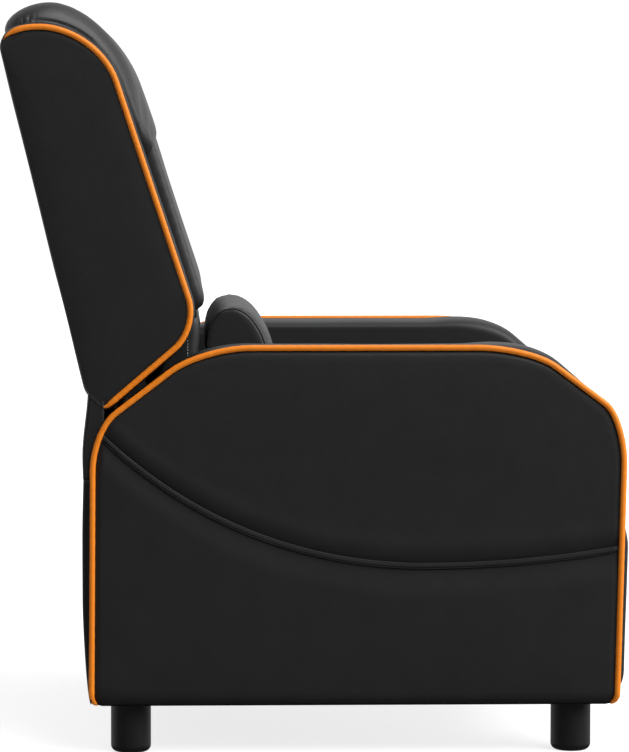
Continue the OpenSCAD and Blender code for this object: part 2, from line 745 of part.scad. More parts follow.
// The wing panel stands back from the piping at its front and top, and reaches the heel behind
function wing_panel_corners() =
    let (d = piping_d + 2 * seat_clear, c = inset_corners(wing_corners, d))
    let (heel = flat2(wing_corners[1]), crest = flat2(wing_corners[2]))
    let (down = unit2(heel - crest) * d)
    [c[0], wing_corners[1], [crest[0] + down[0], crest[1] + down[1], c[2][2]], c[3], c[4]];
bracket_room_gap = 1;
bracket_room_x = rod_x + bar_t + head_t + bracket_room_gap;
bracket_room_h = 200;
module back_room(half, height) {
    lean_frame() translate([-half, -post_cavity_front, 0])
        cube([2 * half, post_cavity_front + post_depth + seat_clear, height]);
}
module back_cover() {
    color("#232427") difference() {
        union() {
            side_solid(-back_core_x, back_core_x) polygon(outline(core_corners));
            side_solid(back_core_x, back_out_x) polygon(outline(wing_panel_corners()));
            side_solid(-back_out_x, -back_core_x) polygon(outline(wing_panel_corners()));
        }
        back_room(post_out_x + seat_clear, post_l + seat_clear);
        back_room(bracket_room_x, bracket_room_h);
    }
}
module back_post() {
    color("#c79a63") lean_frame(post_out_x - post_t) cube([post_t, post_depth, post_l]);
}
module back_cross_rail(z) {
    half = post_out_x - post_t - seat_clear;
    color("#c79a63") lean_frame() translate([-half, (post_depth - ply_t) / 2, z])
        cube([2 * half, ply_t, rail_h]);
}
web_n = 5;
web_w = 50;
web_t = 2;
web_z0 = 170;
web_top_gap = 37;
web_pitch = (post_l - web_top_gap - web_w - web_z0) / (web_n - 1);
module back_webbing() {
    color("#3c3c3f") for (i = [0:web_n - 1])
        lean_frame() translate([-post_out_x, -web_t - seat_clear, web_z0 + i * web_pitch])
            cube([2 * post_out_x, web_t, web_w]);
}

// Pads on the front of the back
pad_gap = 0.5;
function front_line(z, ahead) = wing_notch_y + (z - wing_notch_z) * tan(wing_lean) - ahead;
function core_line(z) = core_notch_y + (z - core_notch_z) * tan(wing_lean) - pad_gap;
head_foot_share = 0.644;
head_foot_z = wing_notch_z + wing_h * head_foot_share;
head_bulge = 28;
head_foot_bulge = 32;
head_brow_drop = 46;
head_brow_z = wing_top_z - head_brow_drop;
head_crest_in = 2;
head_crest_rise = 6;
head_rear_in = 22;
head_front_back = 8;
head_foot_r = 12;
head_crest_r = 16;
head_rear_r = 30;
head_front_r = 50;
head_brow_r = 70;
pad_rear_r = 4;
head_seat_z = core_top_z + pad_gap;
head_top_z = wing_top_z + head_pad_rise;
head_corners = [
    [front_line(head_foot_z, head_foot_bulge), head_foot_z, head_foot_r],
    [core_line(head_foot_z), head_foot_z, pad_rear_r],
    [core_line(head_seat_z), head_seat_z, pad_rear_r],
    [core_rear_y, head_seat_z, pad_rear_r],
    [wing_crest_y - head_crest_in, wing_crest_z + head_crest_rise, head_crest_r],
    [wing_crest_y - head_rear_in, head_top_z, head_rear_r],
    [wing_head_y + head_front_back, head_top_z, head_front_r],
    [front_line(head_brow_z, head_bulge), head_brow_z, head_brow_r]
];
head_half = back_core_x - pad_gap;
head_side_r = 22;
coarse_steps = 4;
module headrest_pad() {
    color("#26272a")
        soft_form(head_corners, pad_stations(head_half, head_side_r, 0), far_low, far_high,
            coarse_steps);
}
pad_foot_rise = 49;
pad_foot_z = arm_top_z + pad_foot_rise;
pad_seam_gap = 3;
pad_top_z = head_foot_z - pad_seam_gap;
pad_foot_tuck = 8;
pad_foot_r = 22;
pad_heel_r = 6;
pad_top_r = 16;
pad_side_r = 20;
back_pad_half = back_out_x - wing_t - back_pad_side;
back_pad_corners = [
    [front_line(pad_foot_z, back_pad_proud - pad_foot_tuck), pad_foot_z, pad_foot_r],
    [core_line(pad_foot_z), pad_foot_z, pad_heel_r],
    [core_line(pad_top_z), pad_top_z, pad_rear_r],
    [front_line(pad_top_z, back_pad_proud), pad_top_z, pad_top_r]
];
back_channel_share = 0.5;
back_channel_x = back_pad_half * back_channel_share;
module back_pad() {
    face = [-cos(wing_lean), sin(wing_lean)];
    hub = [core_line(pad_foot_z), pad_foot_z];
    color("#222326")
        soft_form(back_pad_corners,
            pad_stations(back_pad_half, pad_side_r, 0, [-back_channel_x, back_channel_x],
                seat_channel_w, seat_channel_d),
            far_low, far_high, arc_steps, hub, face, back_pad_proud);
}
lower_pad_side = 19;
lower_pad_half = arm_in_x - lower_pad_side;
lower_pad_foot_r = 8;
lower_pad_r = 3;
lower_pad_rise = 7;
lower_pad_rest_l = 124;
lower_foot_z = post_foot_z + lower_pad_rise;
lower_bend_z = lower_foot_z + lower_pad_rest_l;
lower_notch_in = 3;
lower_notch_drop = 14;
lower_top_in = 3;
lower_top_rise = 22;
lower_brow_in = 6;
lower_brow_rise = 20;
function post_front(z) = post_foot_y + (z - post_foot_z) * rear_slope - seat_clear;
lower_pad_corners = [
    [lower_pad_y, lower_foot_z, lower_pad_foot_r],
    [post_front(lower_foot_z), lower_foot_z, lower_pad_r],
    [post_front(lower_bend_z), lower_bend_z, lower_pad_r],
    [core_notch_y - lower_notch_in, core_notch_z - lower_notch_drop, lower_pad_r],
    [lower_pad_y - lower_top_in, core_notch_z + lower_top_rise, lower_pad_r],
    [lower_pad_y - lower_brow_in, core_notch_z + lower_brow_rise, lower_pad_r]
];
lower_side_r = 8;
module lower_back_pad() {
    color("#1e1f22")
        soft_form(lower_pad_corners, pad_stations(lower_pad_half, lower_side_r, 0), far_low,
            far_high, coarse_steps);
}
module back_piping() {
    c = inset_corners(wing_corners, piping_d / 2 + seat_clear);
    last = flat2(c[2]) + unit2(flat2(c[3]) - flat2(c[2])) * wing_crest_r;
    first = flat2(c[0]) + unit2(flat2(c[4]) - flat2(c[0])) * wing_small_r;
    run = concat([last],
        arc_points(flat2(c[2]), flat2(c[3]), flat2(c[4]), c[3][2], arc_steps * 2),
        arc_points(flat2(c[3]), flat2(c[4]), flat2(c[0]), c[4][2], arc_steps * 2),
        [first]);
    color("#e8801c") side_cord(run, back_core_x + piping_d / 2 + seat_clear * 2, piping_d);
}
flap_out = 1;
flap_y = wing_heel_y + flap_out;
flap_side_margin = 1;
flap_side_in = wing_t + flap_side_margin;
flap_foot_gap = 3;
flap_bend_drop = 22;
flap_bend_z = wing_foot_z - flap_bend_drop;
flap_tuck = 16;
flap_top_y = wing_foot_y + flap_tuck;
core_fall = (wing_heel_z - core_foot_z) / (wing_heel_y - wing_foot_y);
function core_underside(y) = core_foot_z + (y - wing_foot_y) * core_fall - seat_clear;
module rear_flap() {
    foot_z = rear_cover_top_z + flap_foot_gap;
    color("#26272a") side_solid(-back_out_x + flap_side_in, back_out_x - flap_side_in) polygon([
        [flap_y, foot_z],
        [flap_y + flap_t, foot_z],
        [flap_y + flap_t, flap_bend_z],
        [flap_top_y + flap_t, core_underside(flap_top_y + flap_t)],
        [flap_top_y, core_underside(flap_top_y)],
        [flap_y - flap_out, flap_bend_z - flap_t]
    ]);
}

// Back brackets: hinge below, slot for the guide stud above, bolted to the posts
slot_clear = 0.8;
bracket_w = 36;
bracket_rear = 8;
bracket_end = 18;
bracket_side = 16;
bolt_d = 8;
bolt_depth = 18;
bolt_first_z = 110;
bolt_pitch = 55;
function post_bolt(z) = [post_foot_y + bolt_depth + z * rear_slope, post_foot_z + z];
bracket_bolt_places = [post_bolt(bolt_first_z), post_bolt(bolt_first_z + bolt_pitch)];
module back_bracket() {
    slot_w = guide_d + 2 * slot_clear;
    last_bolt = bracket_bolt_places[1];
    color("#4a4d52") side_solid(rod_x, rod_x + bar_t) difference() {
        union() {
            translate(back_hinge_pin) circle(d = bracket_w, $fn = round_fn);
            polygon([
                back_hinge_pin + [-bracket_w / 2, 0],
                back_hinge_pin + [bracket_w / 2, 0],
                guide_pin + [bracket_w / 2 + bracket_rear, 0],
                last_bolt + [bracket_side, bracket_end],
                last_bolt + [-bracket_side, bracket_end],
                guide_pin + [-bracket_w / 2, guide_travel]
            ]);
        }
        translate(back_hinge_pin) circle(d = turning_bore, $fn = round_fn);
        translate(guide_pin) circle(d = slot_w, $fn = round_fn);
        translate(guide_pin + [0, guide_travel]) circle(d = slot_w, $fn = round_fn);
        translate(guide_pin - [slot_w / 2, 0]) square([slot_w, guide_travel]);
        for (p = bracket_bolt_places) translate(p) circle(d = bolt_d, $fn = round_fn);
    }
}
bolt_head_flare = 6;
spacer_flare = 8;
module back_bolts() {
    color("#b9bcc0") both_sides() for (p = bracket_bolt_places) {
        side_pin(p, rod_x + bar_t, rod_x + bar_t + head_t, bolt_d + bolt_head_flare);
        side_pin(p, post_out_x, rod_x + bar_t, bolt_d);
        side_pin(p, post_out_x, rod_x, bolt_d + spacer_flare);
    }
}

// Footrest drive: the rods keep the footrest links turning with the swing links
module drive_rods() {
    color("#5a5d63") both_sides() bar([swing_drive_pin, foot_drive_pin], rod_x, rivet_d);
}
module rod_rivets() {
    color("#b9bcc0") both_sides() for (p = [swing_drive_pin, foot_drive_pin])
        rivet(p, rod_x, link_x + bar_t, false, false);
}
module front_foot_link() {
    pins = [front_foot_pin, front_carry_pin, link_control_pin];
    color("#5a5d63") link_plate(pins, pins, link_x);
}
module rear_foot_link() {
    ends = [foot_drive_pin, rear_carry_pin];
    color("#5a5d63") link_plate(ends, concat(ends, [rear_foot_pin]), link_x);
}
module carrier() {
    color("#5a5d63") bar([rear_carry_pin, front_carry_pin, foot_hinge_pin], rod_x, rivet_d);
}
module carrier_rivets() {
    color("#b9bcc0") both_sides() {
        for (p = [front_carry_pin, rear_carry_pin])
            rivet(p, rod_x, link_x + bar_t + seat_clear, true, true);
        rivet(foot_hinge_pin, seat_plate_x - seat_clear, rod_x + bar_t, true, true);
    }
}
control_bar_slim = 4;
module control_links() {
    color("#5a5d63") both_sides()
        bar([link_control_pin, foot_control_pin], rod_x, rivet_d, bar_w - control_bar_slim);
}
module control_rivets() {
    color("#b9bcc0") both_sides() {
        rivet(link_control_pin, rod_x, link_x + bar_t + seat_clear, false, true);
        rivet(foot_control_pin, seat_plate_x - seat_clear, rod_x + bar_t, true, false);
    }
}

// Footrest: a padded board on two angle brackets
bracket_flange = 26;
bracket_leg = 90;
ear_rise = 12;
ear_reach = 9;
ear_foot = 10;
module footrest_brackets() {
    back = foot_panel_y + seat_clear;
    color("#4a4d52") both_sides() difference() {
        union() {
            side_solid(seat_plate_x, seat_plate_x + bar_t) polygon([
                [back, foot_hinge_pin[1] + ear_rise],
                [foot_hinge_pin[0] + ear_reach, foot_hinge_pin[1] + ear_rise],
                [foot_control_pin[0] + ear_foot, foot_control_pin[1] - ear_foot],
                [back + bar_t, foot_control_pin[1] - bracket_leg],
                [back, foot_control_pin[1] - bracket_leg]
            ]);
            translate([seat_plate_x - bracket_flange, back, foot_control_pin[1] - bracket_leg])
                cube([bracket_flange + bar_t, bar_t, bracket_leg - head_d]);
        }
        for (p = [foot_hinge_pin, foot_control_pin])
            side_pin(p, seat_plate_x - cut_over, seat_plate_x + bar_t + cut_over, turning_bore);
    }
}
module footrest_board() {
    color("#c79a63") translate([-foot_board_x, foot_panel_y - foot_board_t, foot_panel_z + foot_board_margin])
        cube([2 * foot_board_x, foot_board_t, foot_panel_h - 2 * foot_board_margin]);
}
foot_pad_r = 14;
module footrest_pad() {
    back = foot_panel_y - foot_board_t - seat_clear;
    front = back - foot_pad_t;
    top = foot_panel_z + foot_panel_h;
    c = [
        [front, foot_panel_z, foot_pad_r],
        [back, foot_panel_z, pad_rear_r],
        [back, top, pad_rear_r],
        [front, top, foot_pad_r]
    ];
    color("#222326")
        soft_form(c, pad_stations(foot_pad_x, foot_pad_r, 0), far_low, far_high, coarse_steps);
}

mirror([1, 0, 0]) arm_cover();  // right_arm_cover
arm_cover();  // left_arm_cover
mirror([1, 0, 0]) arm_frame();  // right_arm_frame
arm_frame();  // left_arm_frame
mirror([1, 0, 0]) arm_piping();  // right_arm_piping
arm_piping();  // left_arm_piping
middle_rail();
rear_rail();
rear_cover();
leg(-arm_mid_x, -leg_front_y);  // front_right_leg
leg(arm_mid_x, -leg_front_y);  // front_left_leg
leg(-arm_mid_x, leg_rear_y);  // rear_right_leg
leg(arm_mid_x, leg_rear_y);  // rear_left_leg
leg_bolts();
mirror([1, 0, 0]) mount_plate();  // right_mount_plate
mount_plate();  // left_mount_plate
mount_screws();
base_studs();
front_swing_links();
rear_swing_links();
mirror([1, 0, 0]) seat_plate();  // right_seat_plate
seat_plate();  // left_seat_plate
seat_cross_rail(seat_front_rail_y);  // seat_front_rail
seat_cross_rail(seat_rear_rail_y);  // seat_rear_rail
seat_springs();
spring_clips();
seat_rivets();
seat_cushion();
lumbar_pillow();
back_cover();
mirror([1, 0, 0]) back_post();  // right_back_post
back_post();  // left_back_post
back_cross_rail(post_l - rail_h);  // back_top_rail
back_cross_rail(rail_h);  // back_mid_rail
back_webbing();
headrest_pad();
back_pad();
lower_back_pad();
mirror([1, 0, 0]) back_piping();  // right_back_piping
back_piping();  // left_back_piping
mirror([1, 0, 0]) back_bracket();  // right_back_bracket
back_bracket();  // left_back_bracket
back_bolts();
rear_flap();
drive_rods();
rod_rivets();
mirror([1, 0, 0]) front_foot_link();  // right_front_foot_link
front_foot_link();  // left_front_foot_link
mirror([1, 0, 0]) rear_foot_link();  // right_rear_foot_link
rear_foot_link();  // left_rear_foot_link
mirror([1, 0, 0]) carrier();  // right_carrier
carrier();  // left_carrier
carrier_rivets();
control_links();
control_rivets();
footrest_brackets();
footrest_board();
footrest_pad();
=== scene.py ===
import json
import math
import bpy
import bmesh
import numpy as np
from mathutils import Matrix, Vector
from mathutils.bvhtree import BVHTree


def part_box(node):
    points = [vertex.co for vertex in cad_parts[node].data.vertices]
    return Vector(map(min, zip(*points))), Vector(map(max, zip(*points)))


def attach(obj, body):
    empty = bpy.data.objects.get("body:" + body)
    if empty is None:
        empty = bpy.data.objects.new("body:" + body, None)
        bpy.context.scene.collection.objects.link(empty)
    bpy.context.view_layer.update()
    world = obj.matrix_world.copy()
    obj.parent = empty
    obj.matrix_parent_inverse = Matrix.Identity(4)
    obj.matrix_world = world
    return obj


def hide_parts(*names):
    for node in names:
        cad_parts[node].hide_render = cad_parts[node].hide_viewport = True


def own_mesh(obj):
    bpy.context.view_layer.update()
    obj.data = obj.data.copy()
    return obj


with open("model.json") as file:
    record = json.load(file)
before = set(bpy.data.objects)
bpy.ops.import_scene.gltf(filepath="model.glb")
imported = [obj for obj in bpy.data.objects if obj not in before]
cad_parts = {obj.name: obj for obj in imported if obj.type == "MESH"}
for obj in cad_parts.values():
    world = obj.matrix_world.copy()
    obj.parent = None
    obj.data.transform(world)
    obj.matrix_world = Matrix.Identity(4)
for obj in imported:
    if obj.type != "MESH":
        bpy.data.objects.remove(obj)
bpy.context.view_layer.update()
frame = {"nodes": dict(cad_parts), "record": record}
homeOf = {node: body for body, members in frame["record"]["behaviour"]["bodies"].items() for node in members}
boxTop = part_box("front_right_leg")[1].z      # underside of the chair's body, on top of the legs
print("frame loaded,", len(frame["nodes"]), "nodes, body stands at", round(boxTop, 4))

# camera
view = {"sideDistance": 4.74, "sidePlane": -0.370, "y": 0.190, "z": 0.845, "metresPerPixel": 0.001327,
        "pixelsWide": 629, "pixelsHigh": 752, "levelColumn": 171.0, "levelRow": 123.5, "turned": 0.65,
        "nudgeColumn": 0.3, "nudgeRow": 0.1, "sensor": 36.0, "farthest": 60}


def makeCamera():
    # the camera turns part of the way from level to the middle of the picture, and the shift does the rest.
    # lens = distance / size of a pixel at the near side
    pixel = view["metresPerPixel"]
    middle = np.array([view["pixelsWide"] / 2, view["pixelsHigh"] / 2])
    level = np.array([view["levelColumn"], view["levelRow"]])
    aim = level + view["turned"] * (middle - level)
    spot = Vector((view["sidePlane"] - view["sideDistance"], view["y"], view["z"]))
    target = Vector((view["sidePlane"], view["y"] - (aim[0] - level[0]) * pixel, view["z"] - (aim[1] - level[1]) * pixel))
    data = bpy.data.cameras.new("studioCamera")
    data.sensor_fit = "AUTO"
    data.sensor_width = view["sensor"]
    data.lens = view["sensor"] * (target - spot).length / pixel / view["pixelsHigh"]
    data.shift_x = (middle[0] - aim[0] - view["nudgeColumn"]) / view["pixelsHigh"]
    data.shift_y = (aim[1] - middle[1] + view["nudgeRow"]) / view["pixelsHigh"]
    data.clip_end = view["farthest"]
    camera = bpy.data.objects.new("studioCamera", data)
    camera.location = spot
    camera.rotation_euler = (target - spot).to_track_quat("-Z", "Y").to_euler()
    bpy.context.scene.collection.objects.link(camera)
    bpy.context.scene.camera = camera


makeCamera()
print("camera ready")

# small tools for surfaces
sides = ((-1, "right"), (1, "left"))
waves = {"count": 4, "turn": 1.7, "longer": 0.23, "phase": 2.1}


def ease(t):
    # 3t^2 - 2t^3 between 0 and 1
    t = np.clip(t, 0, 1)
    return t * t * (3 - 2 * t)


def dome(t, power):
    # height of a rounded edge: 0 at t = 0, full at t = 1, as a quarter of a superellipse
    return (1 - (1 - np.clip(t, 0, 1)) ** power) ** (1 / power)


def bell(t, wide):
    # 1 at t = 0, falling off to both sides as e^-(t / wide)^2
    return np.exp(-(t / wide) ** 2)


def taper(count, share):
    # a row that is 0 at both ends and 1 from a share of its length inwards, rounded
    along = np.linspace(0, 1, count)
    return dome(np.minimum(along, 1 - along) / share, 2)


def slowWaves(a, b, length, seed):
    # sine waves in fixed directions, added up, about -1 to 1, for the unevenness of stretched leather
    total = 0
    for k in range(waves["count"]):
        turn = seed + waves["turn"] * k
        ahead = a * math.cos(turn) + b * math.sin(turn)
        wave = length * (1 + waves["longer"] * k)
        total = total + np.sin(ahead * 2 * math.pi / wave + waves["phase"] * seed + k)
    return total / waves["count"]


def cornerOutline(corners, perCorner):
    # a polygon whose corners are quarter superellipses: centre + side * cos^(2/power) + other side * sin^(2/power).
    # a corner is y, z, how far it reaches back and ahead along its two edges, and its power
    angle = np.linspace(0, math.pi / 2, perCorner)
    spots = np.array([c[:2] for c in corners])
    runs = []
    for k, (y, z, before, after, power) in enumerate(corners):
        here = spots[k]
        inWay = spots[k - 1] - here
        outWay = spots[(k + 1) % len(corners)] - here
        a = inWay / np.linalg.norm(inWay) * before
        b = outWay / np.linalg.norm(outWay) * after
        middle = here + a + b
        runs.append(middle - b * np.cos(angle)[:, None] ** (2 / power) - a * np.sin(angle)[:, None] ** (2 / power))
    return np.vstack(runs)


def evenly(path, count, closed=True):
    # the same path with count points at equal distances along it
    line = np.vstack([path, path[:1]]) if closed else path
    run = np.concatenate([[0], np.cumsum(np.linalg.norm(np.diff(line, axis=0), axis=1))])
    at = np.linspace(0, run[-1], count + 1)[:-1] if closed else np.linspace(0, run[-1], count)
    return np.stack([np.interp(at, run, line[:, k]) for k in range(line.shape[1])], 1)


def outwardOf(path):
    # unit normal of a closed outline, turned away from its middle
    along = np.roll(path, -1, 0) - np.roll(path, 1, 0)
    normal = np.stack([along[:, 1], -along[:, 0]], 1)
    normal /= np.linalg.norm(normal, axis=1)[:, None] + 1e-12
    flip = np.sign(np.sum(normal * (path - path.mean(0)), 1).sum())
    return normal * flip


def gridFaces(rows, cols, wrapRows=False, wrapCols=False, start=0):
    # one quad between each four neighbours of a grid of points
    r = np.arange(rows if wrapRows else rows - 1)[:, None]
    c = np.arange(cols if wrapCols else cols - 1)[None, :]
    nextR, nextC = (r + 1) % rows, (c + 1) % cols
    quads = np.stack(np.broadcast_arrays(r * cols + c, r * cols + nextC, nextR * cols + nextC, nextR * cols + c), -1)
    return quads.reshape(-1, 4) + start


def makeMesh(name, parts, material, weld=2e-5, closed=True):
    # parts are grids (points, wrapRows, wrapCols) or loose (points, faces), joined, welded, and turned outwards
    points, faces, start = [], [], 0
    for part in parts:
        if len(part) == 3:
            grid, wrapRows, wrapCols = part
            faces += gridFaces(grid.shape[0], grid.shape[1], wrapRows, wrapCols, start).tolist()
            flat = grid.reshape(-1, 3)
        else:
            flat, loose = part
            faces += (np.asarray(loose) + start).tolist()
        points.append(flat)
        start += len(flat)
    mesh = bpy.data.meshes.new(name)
    mesh.from_pydata(np.vstack(points).tolist(), [], faces)
    work = bmesh.new()
    work.from_mesh(mesh)
    bmesh.ops.remove_doubles(work, verts=work.verts, dist=weld)
    bmesh.ops.dissolve_degenerate(work, edges=work.edges, dist=weld / 4)
    if closed:
        bmesh.ops.recalc_face_normals(work, faces=work.faces)
    work.to_mesh(mesh)
    work.free()
    mesh.polygons.foreach_set("use_smooth", np.ones(len(mesh.polygons), bool))
    mesh.materials.append(material)
    mesh.update()
    piece = bpy.data.objects.new(name, mesh)
    bpy.context.scene.collection.objects.link(piece)
    return piece


def vectorsOf(items, label):
    # one vector of each item, as rows of three numbers
    flat = np.empty(len(items) * 3, np.float32)
    items.foreach_get(label, flat)
    return flat.reshape(-1, 3).astype(float)


def pointsOf(piece):
    # the places of a piece's points
    return vectorsOf(piece.data.vertices, "co")


def normalsOf(piece):
    # the normals at a piece's points
    return vectorsOf(piece.data.vertex_normals, "vector")


def movePoints(piece, points):
    # new places for a piece's points
    piece.data.vertices.foreach_set("co", points.astype(np.float32).ravel())
    piece.data.update()


def standIn(piece, nodes, body=None):
    # the piece rides where its CAD nodes do and hides them
    if nodes:
        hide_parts(*nodes)
    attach(piece, body or homeOf[nodes[0]])
    return piece


def shellOf(name, outline, pole, columns, material, side=1):
    # a closed shell: a row follows the outline, a column is (x, share of the way from the pole, offset outwards)
    outward = outwardOf(outline)
    grid = []
    for x, share, offset in columns:
        flat = pole + (outline - pole) * np.reshape(share, (-1, 1)) + outward * np.reshape(offset, (-1, 1))
        grid.append(np.column_stack([np.broadcast_to(x, len(outline)) * side, flat]))
    return makeMesh(name, [(np.stack(grid, 1), True, False)], material)


def tube(name, path, radius, material, around):
    # a round cord: path + radius * (cos a * sideways + sin a * upwards), closed to a point at both ends
    along = np.gradient(path, axis=0)
    along /= np.linalg.norm(along, axis=1)[:, None]
    sideways = np.broadcast_to(np.array((1.0, 0.0, 0.0)), along.shape)
    sideways = sideways - along * np.sum(sideways * along, 1)[:, None]
    sideways /= np.linalg.norm(sideways, axis=1)[:, None]
    upwards = np.cross(along, sideways)
    turn = np.linspace(0, 2 * math.pi, around, endpoint=False)
    size = np.reshape(np.broadcast_to(radius, len(path)), (-1, 1, 1))
    ring = np.cos(turn)[None, :, None] * sideways[:, None] + np.sin(turn)[None, :, None] * upwards[:, None]
    grid = path[:, None] + size * ring
    grid = np.concatenate([np.repeat(path[None, :1], around, 1), grid, np.repeat(path[None, -1:], around, 1)], 0)
    return makeMesh(name, [(grid, False, True)], material)


def closedSheet(name, outer, inner, material, byRows=False):
    # two grids with the same edges make one thin closed skin, whose loop runs along the columns, or else the rows
    if byRows:
        loop = np.concatenate([outer, inner[::-1]], 0)
        ends = [np.stack([loop[:, k], loop[::-1, k]], 1)[: len(loop) // 2] for k in (0, -1)]
    else:
        loop = np.concatenate([outer, inner[:, ::-1]], 1)
        ends = [np.stack([loop[k], loop[k][::-1]], 0)[:, : loop.shape[1] // 2] for k in (0, -1)]
    return makeMesh(name, [(loop, byRows, not byRows)] + [(e, False, False) for e in ends], material)


# materials
grainUsual = {"Cell Scale": 850.0, "Grain Depth": 0.3, "Fold Scale": 24.0, "Fold Depth": 0.12}
sheenAndWearUsual = {"Start": 0.52, "Full": 0.62, "Breakup Scale": 90.0}


def addNode(tree, kind, values=None, **settings):
    # a new node with its settings. Each socket in values gets a constant, or a link where the value is an output
    node = tree.nodes.new("ShaderNode" + kind)
    for label, value in settings.items():
        setattr(node, label, value)
    fill(tree, node, values or {})
    return node


def fill(tree, node, values):
    # constants and links into a node's sockets
    for socket, value in values.items():
        if isinstance(value, bpy.types.NodeSocket):
            tree.links.new(value, node.inputs[socket])
        else:
            node.inputs[socket].default_value = value


def newGroup(label, inputs, outputs):
    # a node group with named sockets: its inputs with their usual values, its outputs with their kinds
    group = bpy.data.node_groups.new(label, "ShaderNodeTree")
    for name, value in inputs.items():
        group.interface.new_socket(name=name, in_out="INPUT", socket_type="NodeSocketFloat").default_value = value
    for name, kind in outputs.items():
        group.interface.new_socket(name=name, in_out="OUTPUT", socket_type="NodeSocket" + kind)
    return group, group.nodes.new("NodeGroupInput").outputs, group.nodes.new("NodeGroupOutput")


def grainGroup():
    # leather grain: rounded cells of about a millimetre, warped by noise, with finer pores and slow unevenness
    group, entry, leave = newGroup("leatherGrain", grainUsual, {"Normal": "Vector", "Grain": "Float", "Cloud": "Float"})
    place = addNode(group, "TexCoord").outputs["Object"]
    warp = addNode(group, "TexNoise", {"Vector": place, "Scale": 260.0, "Detail": 2.0})
    warpSize = addNode(group, "VectorMath", {0: warp.outputs["Color"], "Scale": 0.0012}, operation="SCALE")
    warped = addNode(group, "VectorMath", {0: place, 1: warpSize.outputs["Vector"]})
    cells = addNode(group, "TexVoronoi", {"Vector": warped.outputs["Vector"], "Scale": entry["Cell Scale"]},
                    feature="SMOOTH_F1").outputs["Distance"]
    pores = addNode(group, "TexNoise", {"Vector": place, "Scale": 2400.0, "Detail": 2.0}).outputs["Fac"]
    height = addNode(group, "Math", {0: pores, 1: 0.35, 2: cells}, operation="MULTIPLY_ADD")
    folds = addNode(group, "TexNoise", {"Vector": place, "Scale": entry["Fold Scale"], "Detail": 3.0}).outputs["Fac"]
    foldBump = addNode(group, "Bump", {"Height": folds, "Strength": entry["Fold Depth"], "Distance": 0.004})
    grainBump = addNode(group, "Bump", {"Height": height.outputs["Value"], "Strength": entry["Grain Depth"],
                                        "Distance": 0.00025, "Normal": foldBump.outputs["Normal"]})
    fill(group, leave, {"Normal": grainBump.outputs["Normal"], "Grain": cells, "Cloud": folds})
    return group


def sheenAndWearGroup():
    # edge sheen and wear: how convex the surface is, broken up by noise, as a mask from 0 to 1. On the leathers it
    # paints a lighter sheen on convex edges, on the other finishes it is rubbed wear
    group, entry, leave = newGroup("edgeSheenAndWear", sheenAndWearUsual, {"Mask": "Float"})
    place = addNode(group, "TexCoord").outputs["Object"]
    spots = addNode(group, "TexNoise", {"Vector": place, "Scale": entry["Breakup Scale"], "Detail": 4.0})
    ramp = addNode(group, "MapRange", {"Value": addNode(group, "NewGeometry").outputs["Pointiness"],
                                       "From Min": entry["Start"], "From Max": entry["Full"]})
    mixed = addNode(group, "Math", {0: ramp.outputs["Result"], 1: spots.outputs["Fac"]}, operation="MULTIPLY")
    fill(group, leave, {"Mask": mixed.outputs["Value"]})
    return group


grain, sheenAndWear = grainGroup(), sheenAndWearGroup()


def blankMaterial(name):
    # a new material, its tree and its shader
    made = bpy.data.materials.new(name)
    made.use_nodes = True
    return made, made.node_tree, made.node_tree.nodes["Principled BSDF"]


def between(tree, mask, low, high):
    # low where the mask is 0 and high where it is 1: two colours, or two numbers
    if np.ndim(high) == 0:
        return addNode(tree, "MapRange", {"Value": mask, "To Min": low, "To Max": high}).outputs["Result"]
    first = low if isinstance(low, bpy.types.NodeSocket) else (*low, 1)
    return addNode(tree, "Mix", {"Factor": mask, "A": first, "B": (*high, 1)}, data_type="RGBA").outputs["Result"]


def sheenAndWearEdges(tree, colour, sheenAndWearColour):
    # the colour, and the edge colour where the surface is convex: a painted sheen on the leathers, rubbed wear on the
    # other finishes
    return between(tree, addNode(tree, "Group", node_tree=sheenAndWear).outputs["Mask"], colour, sheenAndWearColour)


def leather(name, dark, light, sheenAndWearColour, rough, specular=0.5, skinValues=None):
    # grained leather whose colour drifts with the slow folds, whose convex edges get a lighter painted sheen, and whose
    # roughness follows the grain
    made, tree, shader = blankMaterial(name)
    skin = addNode(tree, "Group", skinValues, node_tree=grain).outputs
    base = between(tree, skin["Cloud"], dark, light)
    fill(tree, shader, {"Base Color": sheenAndWearEdges(tree, base, sheenAndWearColour), "Roughness": between(tree, skin["Grain"], *rough),
                        "Normal": skin["Normal"], "Specular IOR Level": specular})
    return made


def metal(name, dark, light, sheenAndWearColour, metallic, rough, scale, bump):
    # painted, plated or moulded: cloudy colour and roughness, a faint orange peel, and rubbed edges
    made, tree, shader = blankMaterial(name)
    place = addNode(tree, "TexCoord").outputs["Object"]
    cloud = addNode(tree, "TexNoise", {"Vector": place, "Scale": scale, "Detail": 5.0}).outputs["Fac"]
    peel = addNode(tree, "Bump", {"Height": cloud, "Strength": bump, "Distance": 0.0003})
    base = between(tree, cloud, dark, light)
    fill(tree, shader, {"Base Color": sheenAndWearEdges(tree, base, sheenAndWearColour), "Roughness": between(tree, cloud, *rough),
                        "Metallic": metallic, "Normal": peel.outputs["Normal"]})
    return made


